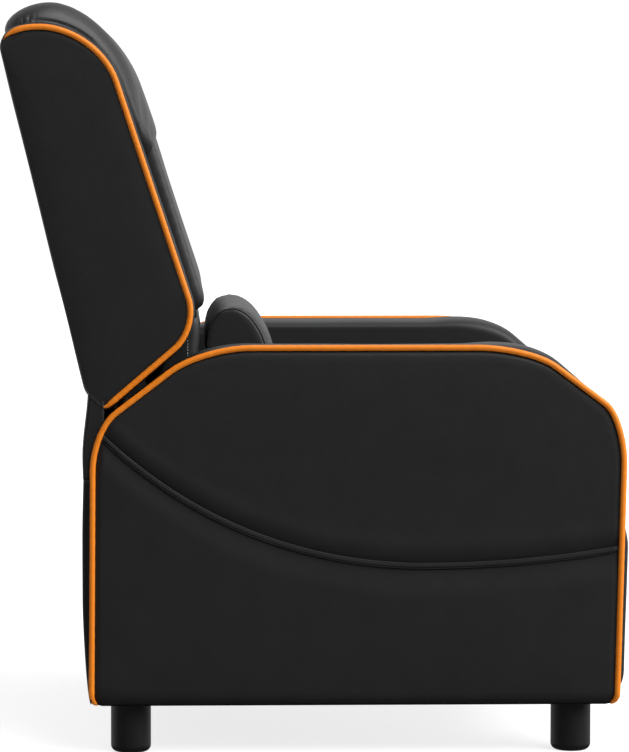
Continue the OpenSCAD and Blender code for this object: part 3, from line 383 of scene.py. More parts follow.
def plywoodMaterial(pale, brown, rough):
    # birch ply: long grain along Y, and thin layers by bands across X and Z where they are cut
    made, tree, shader = blankMaterial("birchPlywood")
    place = addNode(tree, "TexCoord").outputs["Object"]
    stretch = addNode(tree, "Mapping", {"Vector": place, "Scale": (60, 4, 60)})
    fibres = addNode(tree, "TexNoise", {"Vector": stretch.outputs["Vector"], "Scale": 3.0, "Detail": 6.0}).outputs["Fac"]
    layers = addNode(tree, "TexWave", {"Vector": place, "Scale": 110.0, "Distortion": 0.6})
    wood = between(tree, fibres, pale, brown)
    cut = addNode(tree, "Mix", {"Factor": 0.25, "A": wood, "B": layers.outputs["Color"]},
                  data_type="RGBA", blend_type="MULTIPLY")
    bump = addNode(tree, "Bump", {"Height": fibres, "Strength": 0.4, "Distance": 0.0004})
    fill(tree, shader, {"Base Color": cut.outputs["Result"], "Roughness": between(tree, fibres, *rough),
                        "Normal": bump.outputs["Normal"]})
    return made


def wovenMaterial(name, dark, light, pitch, rough):
    # woven threads: two sine waves across each other, the higher one on top, as colour and height
    made, tree, shader = blankMaterial(name)
    place = addNode(tree, "TexCoord").outputs["Object"]
    wave = {"Vector": place, "Scale": 1 / pitch / 3.2, "Distortion": 0.8}
    threads = [addNode(tree, "TexWave", wave, bands_direction=way).outputs["Fac"] for way in ("X", "Z")]
    over = addNode(tree, "Math", {0: threads[0], 1: threads[1]}, operation="MAXIMUM").outputs["Value"]
    bump = addNode(tree, "Bump", {"Height": over, "Strength": 0.6, "Distance": 0.0005})
    fill(tree, shader, {"Base Color": between(tree, over, dark, light), "Roughness": rough,
                        "Normal": bump.outputs["Normal"]})
    return made


# leathers and threads: dark, light and painted edge-sheen colour, least and most roughness, specular level, grain
blackLeather = leather("blackLeather", (0.0076, 0.0078, 0.0083), (0.0115, 0.0118, 0.0124), (0.022, 0.022, 0.023),
                       (0.48, 0.60), 0.36)
softLeather = leather("softLeather", (0.0095, 0.0097, 0.0104), (0.0145, 0.0148, 0.0157), (0.024, 0.024, 0.025),
                      (0.44, 0.56), 0.45, {"Fold Scale": 16.0, "Fold Depth": 0.2})
orangeLeather = leather("orangeLeather", (0.69, 0.170, 0.003), (0.78, 0.215, 0.007), (0.85, 0.30, 0.03),
                        (0.46, 0.56), 0.3,
                        {"Cell Scale": 1400.0, "Grain Depth": 0.15, "Fold Scale": 60.0, "Fold Depth": 0.1})
# a darker, less shiny copy of the black leather: painted shade for the rear cover, which sits in shadow
rearShadeLeather = leather("rearShadeLeather", (0.0060, 0.0062, 0.0066), (0.0090, 0.0092, 0.0098), (0.018, 0.018, 0.019),
                      (0.52, 0.64), 0.16)
blackThread = leather("blackThread", (0.004, 0.004, 0.0045), (0.007, 0.007, 0.0075), (0.01, 0.01, 0.01), (0.6, 0.8), 0.2,
                      {"Cell Scale": 3000.0, "Grain Depth": 0.5})
paleThread = leather("paleThread", (0.30, 0.28, 0.26), (0.42, 0.40, 0.37), (0.5, 0.5, 0.5), (0.5, 0.7), 0.5,
                     {"Cell Scale": 3000.0, "Grain Depth": 0.5})
# the rest: three colours, metallic, roughness, size of the clouds and height of the peel
slotFinish = {
    "black_leather": blackLeather, "orange_piping": orangeLeather,
    "leg_plastic": metal("blackPlastic", (0.0035, 0.0035, 0.0038), (0.006, 0.006, 0.0065), (0.015, 0.015, 0.015),
                         0.0, (0.34, 0.44), 40.0, 0.05),
    # black painted steel, its colour made darker still as painted shade for the brackets seen in the dark gap
    "mechanism_steel": metal("shadeDarkenedSteel", (0.009, 0.0092, 0.010), (0.015, 0.0153, 0.0165), (0.12, 0.12, 0.125),
                             0.2, (0.36, 0.5), 420.0, 0.35),
    "zinc_steel": metal("zincSteel", (0.52, 0.53, 0.55), (0.66, 0.64, 0.58), (0.8, 0.8, 0.8),
                        1.0, (0.25, 0.42), 180.0, 0.25),
    "spring_wire": metal("springSteel", (0.22, 0.23, 0.24), (0.34, 0.34, 0.35), (0.55, 0.55, 0.55),
                         0.95, (0.28, 0.45), 260.0, 0.3),
    "plywood": plywoodMaterial((0.62, 0.43, 0.24), (0.42, 0.27, 0.13), (0.55, 0.75)),
    "webbing": wovenMaterial("webStrap", (0.012, 0.012, 0.013), (0.06, 0.06, 0.065), 0.0016, 0.85)}
for part in frame["record"]["subparts"]:
    for place in frame["nodes"][part["node"]].material_slots:
        place.material = slotFinish[part["material_slot"]]
print("materials ready")

# arms
arm = {"outX": 0.3655, "inX": 0.2625, "frontY": -0.4145, "rearY": 0.297, "high": 0.4797, "footReach": 0.014,
       "slopeFoot": 0.3693, "slopeTop": 0.151, "slopeReach": ((0.055, 0.038), (0.053, 0.066)),
       "browTop": -0.288, "browFoot": 0.3857, "browReach": ((0.070, 0.042), (0.032, 0.062)),
       "dropFrom": 0.162, "toeIn": 0.0085, "rearLean": 0.0020, "leanFrom": 0.12, "leanOver": 0.14,
       "stations": 320, "around": 2.2, "poleY": -0.06, "poleHigh": 0.22, "skin": 0.001,
       "crown": 0.0085, "topCrown": 0.0012, "rearFlat": 0.97, "shinCrown": 1.30, "shinTop": 0.262, "shinY": -0.30,
       "shoulderCrown": 0.36, "shoulderY": 0.135, "shoulderWide": 0.050, "shoulderFrom": 0.40,
       "edgeSteps": 26, "edgePowers": (4.6, 3.4), "underOuter": 0.004, "underInner": 0.012, "footTuck": 0.010,
       "pucker": 0.0005, "puckerPitch": 0.016, "puckerWide": 0.09, "puckerOver": 0.13,
       "puckerSpots": ((-0.36, 0.42), (0.23, 0.41)), "uneven": 0.0005, "unevenLength": 0.13}
panel = {"crown": 0.0026, "dip": 0.0022, "dipOver": 0.035, "uneven": 0.00035, "unevenLength": 0.21,
         "seamLow": 0.192, "seamMiddle": -0.150, "seamRear": 7.6, "seamRearKick": 0.085, "seamFront": 3.3,
         "edgeIn": 0.0025, "thick": 0.003, "steps": 201, "foot": 0.004, "footTuck": 0.006,
         "threadUnder": 0.0073, "threadIn": 0.0004, "threadRadius": 0.0010, "threadPoints": 400}
armWelt = {"radius": 0.0040, "inX": 0.0015, "points": 420, "ends": 0.012, "tip": 0.25, "twist": 610, "twistDepth": 0.02,
           "footTuck": 0.006, "rearIn": 0.006, "frontIn": 0.017, "footUp": 0.004}
armPole = np.array([arm["poleY"], boxTop + arm["poleHigh"]])


def armCorners():
    # side view of an arm: a box with a straight slope at its upper rear corner, each corner a quarter superellipse
    top, foot = boxTop + arm["high"], boxTop
    (low, high), (brow, chin) = arm["slopeReach"], arm["browReach"]
    return cornerOutline([
        (arm["rearY"], foot, arm["footReach"], arm["footReach"], 2.0),
        (arm["rearY"], foot + arm["slopeFoot"], *low, 2.0), (arm["slopeTop"], top, *high, 2.0),
        (arm["browTop"], top, *brow, 2.0), (arm["frontY"], foot + arm["browFoot"], *chin, 2.0),
        (arm["frontY"], foot, arm["footReach"], arm["footReach"], 2.0)], 60)


def drawnIn(y, z):
    # y with the front foot drawn in by drop^1.6 * ahead^3, and the upper rear leaning forward by (1 - ahead)^3
    drop = np.clip((boxTop + arm["high"] - arm["dropFrom"] - z) / (arm["high"] - arm["dropFrom"]), 0, 1)
    ahead = np.clip((arm["rearY"] - y) / (arm["rearY"] - arm["frontY"]), 0, 1)
    lean = arm["rearLean"] * ease((z - boxTop - arm["leanFrom"]) / arm["leanOver"]) * (1 - ahead) ** 3
    return y + arm["toeIn"] * drop ** 1.6 * ahead ** 3 - lean


def armOutline():
    # the arm's corners, drawn in at the front foot
    line = armCorners()
    line[:, 0] = drawnIn(line[:, 0], line[:, 1])
    return evenly(line, arm["stations"])


def shareAt(outline, y, z):
    # how far a point is from the arm's pole, as a share of the outline's distance in that direction
    rim = outline - armPole
    angle = np.arctan2(rim[:, 1], rim[:, 0])
    order = np.argsort(angle)
    turn, far = angle[order], np.linalg.norm(rim, axis=1)[order]
    reach = np.interp(np.arctan2(z - armPole[1], y - armPole[0]), turn, far, period=2 * math.pi)
    return np.hypot(y - armPole[0], z - armPole[1]) / reach


def panelSwell(share, y, z, seed):
    # the side panel bulges by its crown * (1 - share^6), dips at the piping, and is slightly uneven
    dip = panel["dip"] * ease((share - (1 - panel["dipOver"])) / panel["dipOver"])
    uneven = panel["uneven"] * slowWaves(y, z, panel["unevenLength"], seed) * (1 - share ** 4)
    return panel["crown"] * (1 - share ** 6) - dip + uneven


def seamHeight(y):
    # the curved seam: a parabola ahead of its lowest point, and a steeper one with a fourth power behind it,
    # in millimetres over tenths of a metre
    t = (y - panel["seamMiddle"]) * 10
    rear = panel["seamRear"] * t ** 2 + panel["seamRearKick"] * t ** 4
    return boxTop + panel["seamLow"] + np.where(t > 0, rear, panel["seamFront"] * t ** 2) / 1000


def overEdge(count, outerPower, innerPower):
    # steps over a padded edge from its outer face to its inner one, as a half superellipse with a power for each side:
    # share of the way, how far across from 1 to -1, how far up from 0 to 1, and the plain sine
    for t in np.linspace(0.02, 0.98, count):
        turn = math.pi * t
        power = outerPower if t < 0.5 else innerPower
        across = math.copysign(abs(math.cos(turn)) ** (2 / power), math.cos(turn))
        yield t, across, math.sin(turn) ** (2 / power), math.sin(turn)


def makeArmPad(side, word, seed):
    # outer face, rounded edge and inner face, as sections round the pole. The crown is highest over the front,
    # the shin and the shoulder, and nothing at the foot
    outline = armOutline()
    y, low = outline[:, 0], outline[:, 1] - boxTop
    upness = ease((low - 0.002) / 0.03)
    rear = ease((y - arm["rearY"] + 0.07) / 0.06) * (low < 0.42)
    front = ease((-0.19 - y) / 0.10) * (0.08 + 0.92 * ease((low - 0.395) / 0.075))
    shin = arm["shinCrown"] * ease((arm["shinTop"] - low) / 0.05) * ease((low - 0.004) / 0.04) * (y < arm["shinY"])
    shoulder = arm["shoulderCrown"] * bell(y - arm["shoulderY"], arm["shoulderWide"]) * (low > arm["shoulderFrom"])
    full = np.maximum(front, np.maximum(shin, shoulder))
    crown = (arm["topCrown"] + (arm["crown"] - arm["topCrown"]) * full) * upness * (1 - arm["rearFlat"] * rear)
    run = np.arange(arm["stations"]) / arm["stations"] * arm["around"]
    atCorner = sum(bell(np.abs(y - spotY) + np.abs(low - spotZ), arm["puckerWide"])
                   for spotY, spotZ in arm["puckerSpots"])
    gathers = arm["pucker"] * np.sin(run * 2 * math.pi / arm["puckerPitch"]) * atCorner
    columns = []
    for share in np.concatenate([[0.0], np.linspace(0.12, 0.9, 10), [0.93, 0.955, 0.975, 0.99, 1.0]]):
        spot = armPole + (outline - armPole) * share
        swell = panelSwell(share, spot[:, 0], spot[:, 1], seed)
        x = arm["outX"] - arm["skin"] + swell - 0.008 * (1 - upness) * share ** 40
        columns.append((x - 0.0035 * ease((1 - share) / 0.02), share, 0.0))
    middle, half = (arm["outX"] + arm["inX"]) / 2, (arm["outX"] - arm["inX"]) / 2
    for t, across, up, sine in overEdge(arm["edgeSteps"], *arm["edgePowers"]):
        under = (arm["underOuter"] if t < 0.5 else arm["underInner"]) * upness
        uneven = arm["uneven"] * slowWaves(run, t * 0.1 + 0 * run, arm["unevenLength"], seed + 2) * upness * sine
        offset = -under + (under + crown) * up + gathers * bell(min(t, 1 - t), arm["puckerOver"]) + uneven
        tuck = arm["footTuck"] * (1 - upness) * (1 - t)
        columns.append((middle + half * across - tuck, 1.0, offset))
    for share in np.concatenate([[1.0, 0.985, 0.96], np.linspace(0.9, 0.12, 8), [0.0]]):
        x = arm["inX"] - 0.0012 * (1 - share ** 6)
        columns.append((np.full(len(outline), x), share, -arm["underInner"] * upness * share))
    shell = shellOf(word + "_arm_pad", outline, armPole, columns, blackLeather, side)
    standIn(shell, [word + "_arm_cover"])


def makeSidePanels(side, word, seed):
    # two side panels meet at the curved seam: the upper one dips into it, the lower one lies over it with a folded edge
    outline, edgeIn = armOutline(), panel["edgeIn"]
    rearEnd, frontEnd = arm["rearY"] - edgeIn, arm["frontY"] + edgeIn
    s = np.linspace(-1, 1, panel["steps"])
    y0 = (rearEnd + frontEnd) / 2 + (rearEnd - frontEnd) / 2 * np.sin(s * math.pi / 2)
    near = np.minimum(rearEnd - y0, y0 - frontEnd)
    corner = np.clip(near / arm["footReach"], 0, 1)
    bottom = boxTop + panel["foot"] + arm["footReach"] * (1 - np.sqrt(1 - (1 - corner) ** 2))
    rim = evenly(armCorners(), 900)
    rim = rim - outwardOf(rim) * edgeIn
    rim = rim[rim[:, 1] > boxTop + 0.30]
    rim = rim[np.argsort(rim[:, 0])]
    top = np.interp(y0, rim[:, 0], rim[:, 1])
    seam = np.minimum(seamHeight(y0), top - 0.001)
    v = np.concatenate([np.linspace(0, 0.02, 12)[:-1], 0.02 + 0.98 * np.linspace(0, 1, 46) ** 1.5])

    def onPanel(y, z):
        # x of the swollen side at a point of the side view
        return arm["outX"] - arm["skin"] + panelSwell(shareAt(outline, y, z), y, z, seed)

    def sidePanel(name, limit, shape):
        # a thin closed skin from the seam to the limit, raised by shape(distance from the seam)
        z = seam[None] + (limit - seam)[None] * v[:, None]
        y = drawnIn(y0[None], z)
        share = shareAt(outline, y, z)
        rest = onPanel(y, z) - panel["footTuck"] * (1 - ease((z - boxTop - 0.002) / 0.014)) * share ** 60
        raised = rest + shape(np.abs(seam[None] - z)) * (0.25 + 0.75 * ease((1 - share) / 0.012))
        outer, inner = (np.stack([x * side, y, z], -1) for x in (raised, rest - panel["thick"]))
        standIn(closedSheet(word + name, outer, inner, blackLeather, True), [], "base")

    # above the seam a shadowed dip with a faint ridge, below it a rounded fold, a groove under it and a slow return
    sidePanel("_arm_upper_panel", top, lambda d: -0.0030 * np.exp(-(d / 0.0085) ** 1.3) + 0.0005 * bell(d - 0.022, 0.012))
    sidePanel("_arm_lower_panel", bottom, lambda d: 0.0004 * ease((d + 0.0010) / 0.0060) + 0.0002
              - 0.0020 * ease((d - 0.0062) / 0.0008) * (1 - ease((d - 0.0075) / 0.040)))

    # the thread in the groove under the folded edge
    ys = np.linspace(rearEnd - 0.008, frontEnd + 0.006, panel["threadPoints"])
    zs = seamHeight(ys) - panel["threadUnder"]
    path = np.stack([(onPanel(ys, zs) - panel["threadIn"]) * side, ys, zs], 1)
    radius = panel["threadRadius"] * taper(panel["threadPoints"], 0.05)
    standIn(tube(word + "_arm_seam_thread", path, radius, blackThread, 6), [], "base")


def makeArmWelt(side, word):
    # the piping follows the outer edge, from the foot of the rear over the top to the foot of the front
    outline, count = armOutline(), armWelt["points"]

    def nearest(line, y):
        # the number of the line's point that is nearest to y just above the foot, by |dy| + |dz|
        return int(np.argmin(np.abs(line[:, 0] - y) + np.abs(line[:, 1] - boxTop - armWelt["footUp"])))

    line = np.roll(outline, -nearest(outline, arm["rearY"] - armWelt["rearIn"]), 0)
    line = evenly(line[: nearest(line, arm["frontY"] + armWelt["frontIn"]) + 1], count, closed=False)
    twist = 1 + armWelt["twistDepth"] * np.sin(np.linspace(0, 1, count) * armWelt["twist"])
    radius = armWelt["radius"] * (armWelt["tip"] + (1 - armWelt["tip"]) * taper(count, armWelt["ends"])) * twist
    x = arm["outX"] - armWelt["inX"] - armWelt["footTuck"] * (1 - ease((line[:, 1] - boxTop) / 0.016))
    cord = tube(word + "_arm_welt", np.column_stack([x * side, line]), radius, orangeLeather, 14)
    standIn(cord, [word + "_arm_piping"])


for side, word in sides:
    armSeed = {"right": 0.4, "left": 2.3}[word]
    makeArmPad(side, word, armSeed)
    makeSidePanels(side, word, armSeed)
    makeArmWelt(side, word)
print("arms ready")

# back
back = {"outX": 0.3625, "wide": 0.058, "crown": 0.0065, "rearFlat": 0.75, "stations": 300, "around": 1.6,
        "pole": (0.275, 0.64), "foot": (0.279, 0.399), "heel": (0.3035, 0.420), "crest": (0.4222, 0.9038),
        "head": (0.288, 0.909), "notch": (0.154, 0.506), "skin": 0.001, "swell": 0.0024, "dip": 0.0022,
        "reach": {"foot": (0.006, 0.006), "heel": (0.008, 0.008), "crest": (0.030, 0.050), "head": (0.080, 0.080),
                  "notch": (0.042, 0.042)},
        "edgeSteps": 18, "edgePowers": (3.6, 2.6), "underOuter": 0.004, "underInner": 0.014,
        "uneven": 0.0005, "unevenLength": 0.11}
backWelt = {"radius": 0.0040, "inX": 0.0015, "points": 340, "tip": 0.12, "twist": 500, "twistDepth": 0.02,
            "fromCrest": (-0.0036, -0.0118), "toFoot": (0.003, 0.0)}
backBody = {"wide": 0.3055, "crown": 0.0065, "inset": 0.003, "uneven": 0.0006, "stations": 160,
            "pole": (0.29, 0.64), "heel": (0.301, 0.420), "lean": 0.24}


def backSpot(label):
    # a named point of the back's side view
    return np.array([back[label][0], boxTop + back[label][1]])


def wingOutline():
    # side view of the back: five corners, of which the top front one and the notch over the arm are wide curves
    line = cornerOutline([(*backSpot(label), *reach, 2.0) for label, reach in back["reach"].items()], 48)
    return evenly(line, back["stations"])


def makeWing(side, word, seed):
    # outer face, rounded edge and inner face, as sections round the pole. The edge is flatter along the rear
    outline, pole = wingOutline(), backSpot("pole")
    crest, heel, foot = (backSpot(label) for label in ("crest", "heel", "foot"))
    rearLine = (crest - heel) / np.linalg.norm(crest - heel)
    toRear = np.abs(np.cross(np.column_stack([outline - heel, np.zeros(len(outline))]), [*rearLine, 0])[:, 2])
    atHeel = (outline[:, 1] < heel[1] + 0.01) * ease((outline[:, 0] - foot[0] - 0.002) / 0.004)
    rear = np.maximum(1 - ease(toRear / 0.02), atHeel)
    crown = back["crown"] * (1 - back["rearFlat"] * rear)
    run = np.arange(back["stations"]) / back["stations"] * back["around"]
    columns = []
    for share in np.concatenate([[0.0], np.linspace(0.12, 0.9, 9), [0.94, 0.965, 0.985, 1.0]]):
        spot = pole + (outline - pole) * share
        dip = back["dip"] * max(0, share - 0.965) / 0.035 * (1 - rear)
        x = back["outX"] - back["skin"] + back["swell"] * (1 - share ** 5) - dip
        columns.append((x + 0.0004 * slowWaves(spot[:, 0], spot[:, 1], 0.19, seed) * (1 - share ** 4), share, 0.0))
    inX = back["outX"] - back["wide"]
    middle, half = (back["outX"] + inX) / 2, back["wide"] / 2
    for t, across, up, sine in overEdge(back["edgeSteps"], *back["edgePowers"]):
        under = back["underOuter"] * (1 - 0.95 * rear) if t < 0.5 else back["underInner"]
        uneven = back["uneven"] * slowWaves(run, t * 0.06 + 0 * run, back["unevenLength"], seed + 1) * sine
        columns.append((middle + half * across, 1.0, -under + (under + crown) * up + uneven))
    for share in (1.0, 0.97, 0.9, 0.6, 0.3, 0.0):
        columns.append((np.full(len(outline), inX), share, -back["underInner"] * share))
    wing = shellOf(word + "_back_side", outline, pole, columns, blackLeather, side)
    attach(wing, "back")


def makeBackWelt(side, word):
    # piping from the rear end of the top, down the front edge and along the lower edge to the heel.
    # It sinks in slowly at the top and ends round at the heel
    outline, count = wingOutline(), backWelt["points"]
    start, stop = (int(np.argmin(np.linalg.norm(outline - (backSpot(label) + backWelt[move]), axis=1)))
                   for label, move in (("crest", "fromCrest"), ("foot", "toFoot")))
    stop = stop + back["stations"] if stop < start else stop
    line = evenly(np.vstack([outline, outline])[start: stop + 1], count, closed=False)
    along = np.linspace(0, 1, count)
    ends = ease(along / 0.045 + 0.16) * dome((1 - along) / 0.03, 1.6)
    twist = 1 + backWelt["twistDepth"] * np.sin(along * backWelt["twist"])
    radius = backWelt["radius"] * (backWelt["tip"] + (1 - backWelt["tip"]) * ends) * twist
    path = np.column_stack([np.full(count, (back["outX"] - backWelt["inX"]) * side), line])
    standIn(tube(word + "_back_welt", path, radius, orangeLeather, 14), [word + "_back_piping"])


def makeBackBody():
    # the body of the back between its sides: the wing outline set in at the front, carried across, with a crowned rear
    count, wide, heel = backBody["stations"], backBody["wide"], backBody["heel"]
    line = evenly(cornerOutline([
        (0.272, boxTop + 0.410, 0.006, 0.006, 2), (heel[0], boxTop + heel[1], 0.008, 0.008, 2),
        (0.4118, boxTop + 0.882, 0.010, 0.010, 2), (0.300, boxTop + 0.866, 0.03, 0.03, 2),
        (0.182, boxTop + 0.490, 0.02, 0.02, 2)], 20), count)
    pole = np.array([backBody["pole"][0], boxTop + backBody["pole"][1]])
    slope = (line[:, 0] - heel[0]) - (line[:, 1] - boxTop - heel[1]) * backBody["lean"]
    rear = ease((slope + 0.03) / 0.03)
    columns = [(np.full(count, -wide), 0.0, 0.0), (np.full(count, -wide), 0.6, 0.0)]
    for t in np.linspace(-1, 1, 41):
        x = wide * math.copysign(abs(t) ** 0.8, t)
        swell = backBody["crown"] * (1 - abs(t) ** 4) - backBody["inset"] * (abs(t) > 0.999)
        uneven = backBody["uneven"] * rear * slowWaves(line[:, 1], x + 0 * line[:, 1], 0.24, 1.3)
        columns.append((np.full(count, x), 1.0, rear * swell + uneven))
    columns += [(np.full(count, wide), 0.6, 0.0), (np.full(count, wide), 0.0, 0.0)]
    standIn(shellOf("back_body", line, pole, columns, blackLeather), ["back_cover"])


for side, word in sides:
    makeWing(side, word, {"right": 1.1, "left": 3.2}[word])
    makeBackWelt(side, word)
makeBackBody()
print("back ready")

# padded pieces
fabric = {"quality": 6, "mass": 0.35, "tension_stiffness": 18, "compression_stiffness": 12, "shear_stiffness": 8,
          "bending_stiffness": 1.2, "use_pressure": True, "vertex_group_mass": "sewn", "pin_stiffness": 1.0}
puffFrames = 20


def bakeModifiers(piece):
    # the modifiers' result becomes the piece's own mesh
    solid = bpy.data.meshes.new_from_object(piece.evaluated_get(bpy.context.evaluated_depsgraph_get()))
    old = piece.data
    piece.modifiers.clear()
    piece.data = solid
    solid.name = piece.name
    bpy.data.meshes.remove(old)
    solid.polygons.foreach_set("use_smooth", np.ones(len(solid.polygons), bool))


def puff(piece, voxel, cap, pressure, hold):
    # the cushion is remeshed and blown up as cloth, and its points move by cap * tanh(distance / cap).
    # hold(points) is 1 where it is sewn down
    scene = bpy.context.scene
    bpy.context.view_layer.objects.active = piece
    remesh = piece.modifiers.new("voxels", "REMESH")
    remesh.mode = "VOXEL"
    remesh.voxel_size = voxel
    remesh.use_smooth_shade = True
    bakeModifiers(piece)
    before = pointsOf(piece)
    sewn = piece.vertex_groups.new(name=fabric["vertex_group_mass"])
    weight = np.round(np.clip(hold(before), 0, 1), 1)
    for level in np.unique(weight):
        if level > 0:
            sewn.add(np.nonzero(weight == level)[0].tolist(), float(level), "REPLACE")
    cloth = piece.modifiers.new("fabric", "CLOTH")
    for label, value in fabric.items():
        setattr(cloth.settings, label, value)
    cloth.settings.uniform_pressure_force = pressure
    cloth.settings.effector_weights.gravity = 0
    cloth.point_cache.frame_start = 1
    cloth.point_cache.frame_end = puffFrames
    for number in range(1, puffFrames + 1):
        scene.frame_set(number)
    shaped = piece.evaluated_get(bpy.context.evaluated_depsgraph_get())
    move = pointsOf(shaped) - before
    piece.modifiers.remove(cloth)
    scene.frame_set(1)
    size = np.linalg.norm(move, axis=1)[:, None] + 1e-9
    movePoints(piece, before + move / size * (cap * np.tanh(size / cap)))
    piece.vertex_groups.clear()


def refine(piece):
    # subdivision surface, applied
    smoother = piece.modifiers.new("smoother", "SUBSURF")
    smoother.use_limit_surface = False
    smoother.levels = smoother.render_levels = 1
    bakeModifiers(piece)


def padBlock(name, outline, wide, edge, power, material, count, columns, lean=0.0, crown=(0.0, 0.06), anchor=(0, 0)):
    # a block cushion: the side outline carried across X. Towards the ends both half-sizes shrink about the anchor,
    # over the last part by edge as a superellipse, and before it by a slower crown as a circle
    line = evenly(outline, count)
    turn = np.array([[math.cos(lean), -math.sin(lean)], [math.sin(lean), math.cos(lean)]])
    flat = line @ turn
    middle, half = (flat.max(0) + flat.min(0)) / 2, (flat.max(0) - flat.min(0)) / 2
    rest = middle + half * anchor
    tip = middle + half * anchor * min(1, (edge + crown[0]) / half.min())
    sections = [np.tile([-wide, *tip], (count, 1))]
    for t in np.sin(np.linspace(-1, 1, columns) * math.pi / 2):
        inside = np.clip((abs(wide * t) - (wide - edge)) / edge, 0, 1)
        slow = np.clip((abs(wide * t) - (wide - crown[1])) / crown[1], 0, 1)
        pull = edge * (1 - (1 - inside ** power) ** (1 / power)) + crown[0] * (1 - math.sqrt(1 - slow ** 2))
        size = 1 - np.minimum(pull / half, 0.92)
        sections.append(np.column_stack([np.full(count, wide * t), rest + (flat - rest) * size]))
    sections.append(np.tile([wide, *tip], (count, 1)))
    grid = np.stack(sections, 1)
    grid[..., 1:] = grid[..., 1:] @ turn.T
    return makeMesh(name, [(grid, True, False)], material)


def snap(piece, path):
    # the points of a piece that are nearest to a path, smoothed along it, and the faces' normals there
    tree = BVHTree.FromPolygons(pointsOf(piece).tolist(), [tuple(face.vertices) for face in piece.data.polygons])
    found = [tree.find_nearest(spot) for spot in path.tolist()]
    spots, normals = np.array([hit[0] for hit in found]), np.array([hit[1] for hit in found])
    for _ in range(3):
        spots[1:-1] = (spots[:-2] + spots[1:-1] * 2 + spots[2:]) / 4
    return spots, normals


def stitches(name, path, outward, material, pitch, length, thick):
    # a row of threads: each is a small closed spindle of 5 by 6 points, set along the path
    run = np.concatenate([[0], np.cumsum(np.linalg.norm(np.diff(path, axis=0), axis=1))])
    at = np.arange(pitch / 2, run[-1], pitch)

    def along(spots, rows):
        # the rows at distances along the path
        return np.stack([np.interp(spots, run, rows[:, k]) for k in range(3)], 1)

    middle, normal = along(at, path), along(at, outward)
    normal /= np.linalg.norm(normal, axis=1)[:, None]
    ahead = along(at + pitch / 4, path) - middle
    ahead /= np.linalg.norm(ahead, axis=1)[:, None] + 1e-12
    aside = np.cross(ahead, normal)
    t = np.linspace(0, math.pi, 5)[:, None]
    turn = np.linspace(0, 2 * math.pi, 6, endpoint=False)[None]
    local = np.stack([-np.cos(t) * length / 2 + 0 * turn, np.sin(t) ** 0.6 * np.cos(turn) * thick,
                      np.sin(t) ** 0.6 * np.sin(turn) * thick], -1).reshape(-1, 3)
    points = (middle[:, None] + local[None, :, :1] * ahead[:, None] + local[None, :, 1:2] * aside[:, None]
              + local[None, :, 2:] * normal[:, None])
    every = gridFaces(5, 6, False, True)[None] + (np.arange(len(at)) * len(local))[:, None, None]
    return makeMesh(name, [(points.reshape(-1, 3), every.reshape(-1, 4))], material)


def makePad(name, line, wide, look, hold=None, **more):
    # a block of soft leather by its settings, puffed where hold allows it, and subdivided, with its points and normals
    pad = padBlock(name, line, wide, look["edge"], look["power"], softLeather, *look["grid"], **more)
    if hold:
        puff(pad, *look["puff"], hold)
    refine(pad)
    return pad, pointsOf(pad), normalsOf(pad)


def channelAt(look, points):
    # 1 along the two sewn channels down a pad, falling off to both sides
    return bell(np.abs(points[:, 0]) - look["channelX"], look["channelWide"])


def finishPad(piece, node):
    # the pad stands in for its solid, as soft padding that fills a share of it
    standIn(piece, [node])
    return piece


def frontLine(z):
    # the straight front edge of the wings: y at a height above the body's underside
    notch, head = back["notch"], back["head"]
    return notch[0] + (z - notch[1]) * (head[0] - notch[0]) / (head[1] - notch[1])


backLean = math.atan2(back["head"][0] - back["notch"][0], back["head"][1] - back["notch"][1])
headPad = {"wide": 0.3545, "frontWide": 0.338, "foot": 0.748, "top": 0.9435, "edge": 0.040, "power": 2.3,
           "grid": (170, 80), "puff": (0.0055, 0.0055, 2.0), "pleat": 0.0014, "pleatPitch": 0.0078, "pleatY": 0.383,
           "fold": 0.0019, "foldHigh": 0.0085, "foldWide": 0.0022, "uneven": 0.0009, "unevenLength": 0.12,
           "seamPoints": 90, "seamHigh": 0.0080, "seamRadius": 0.0007}


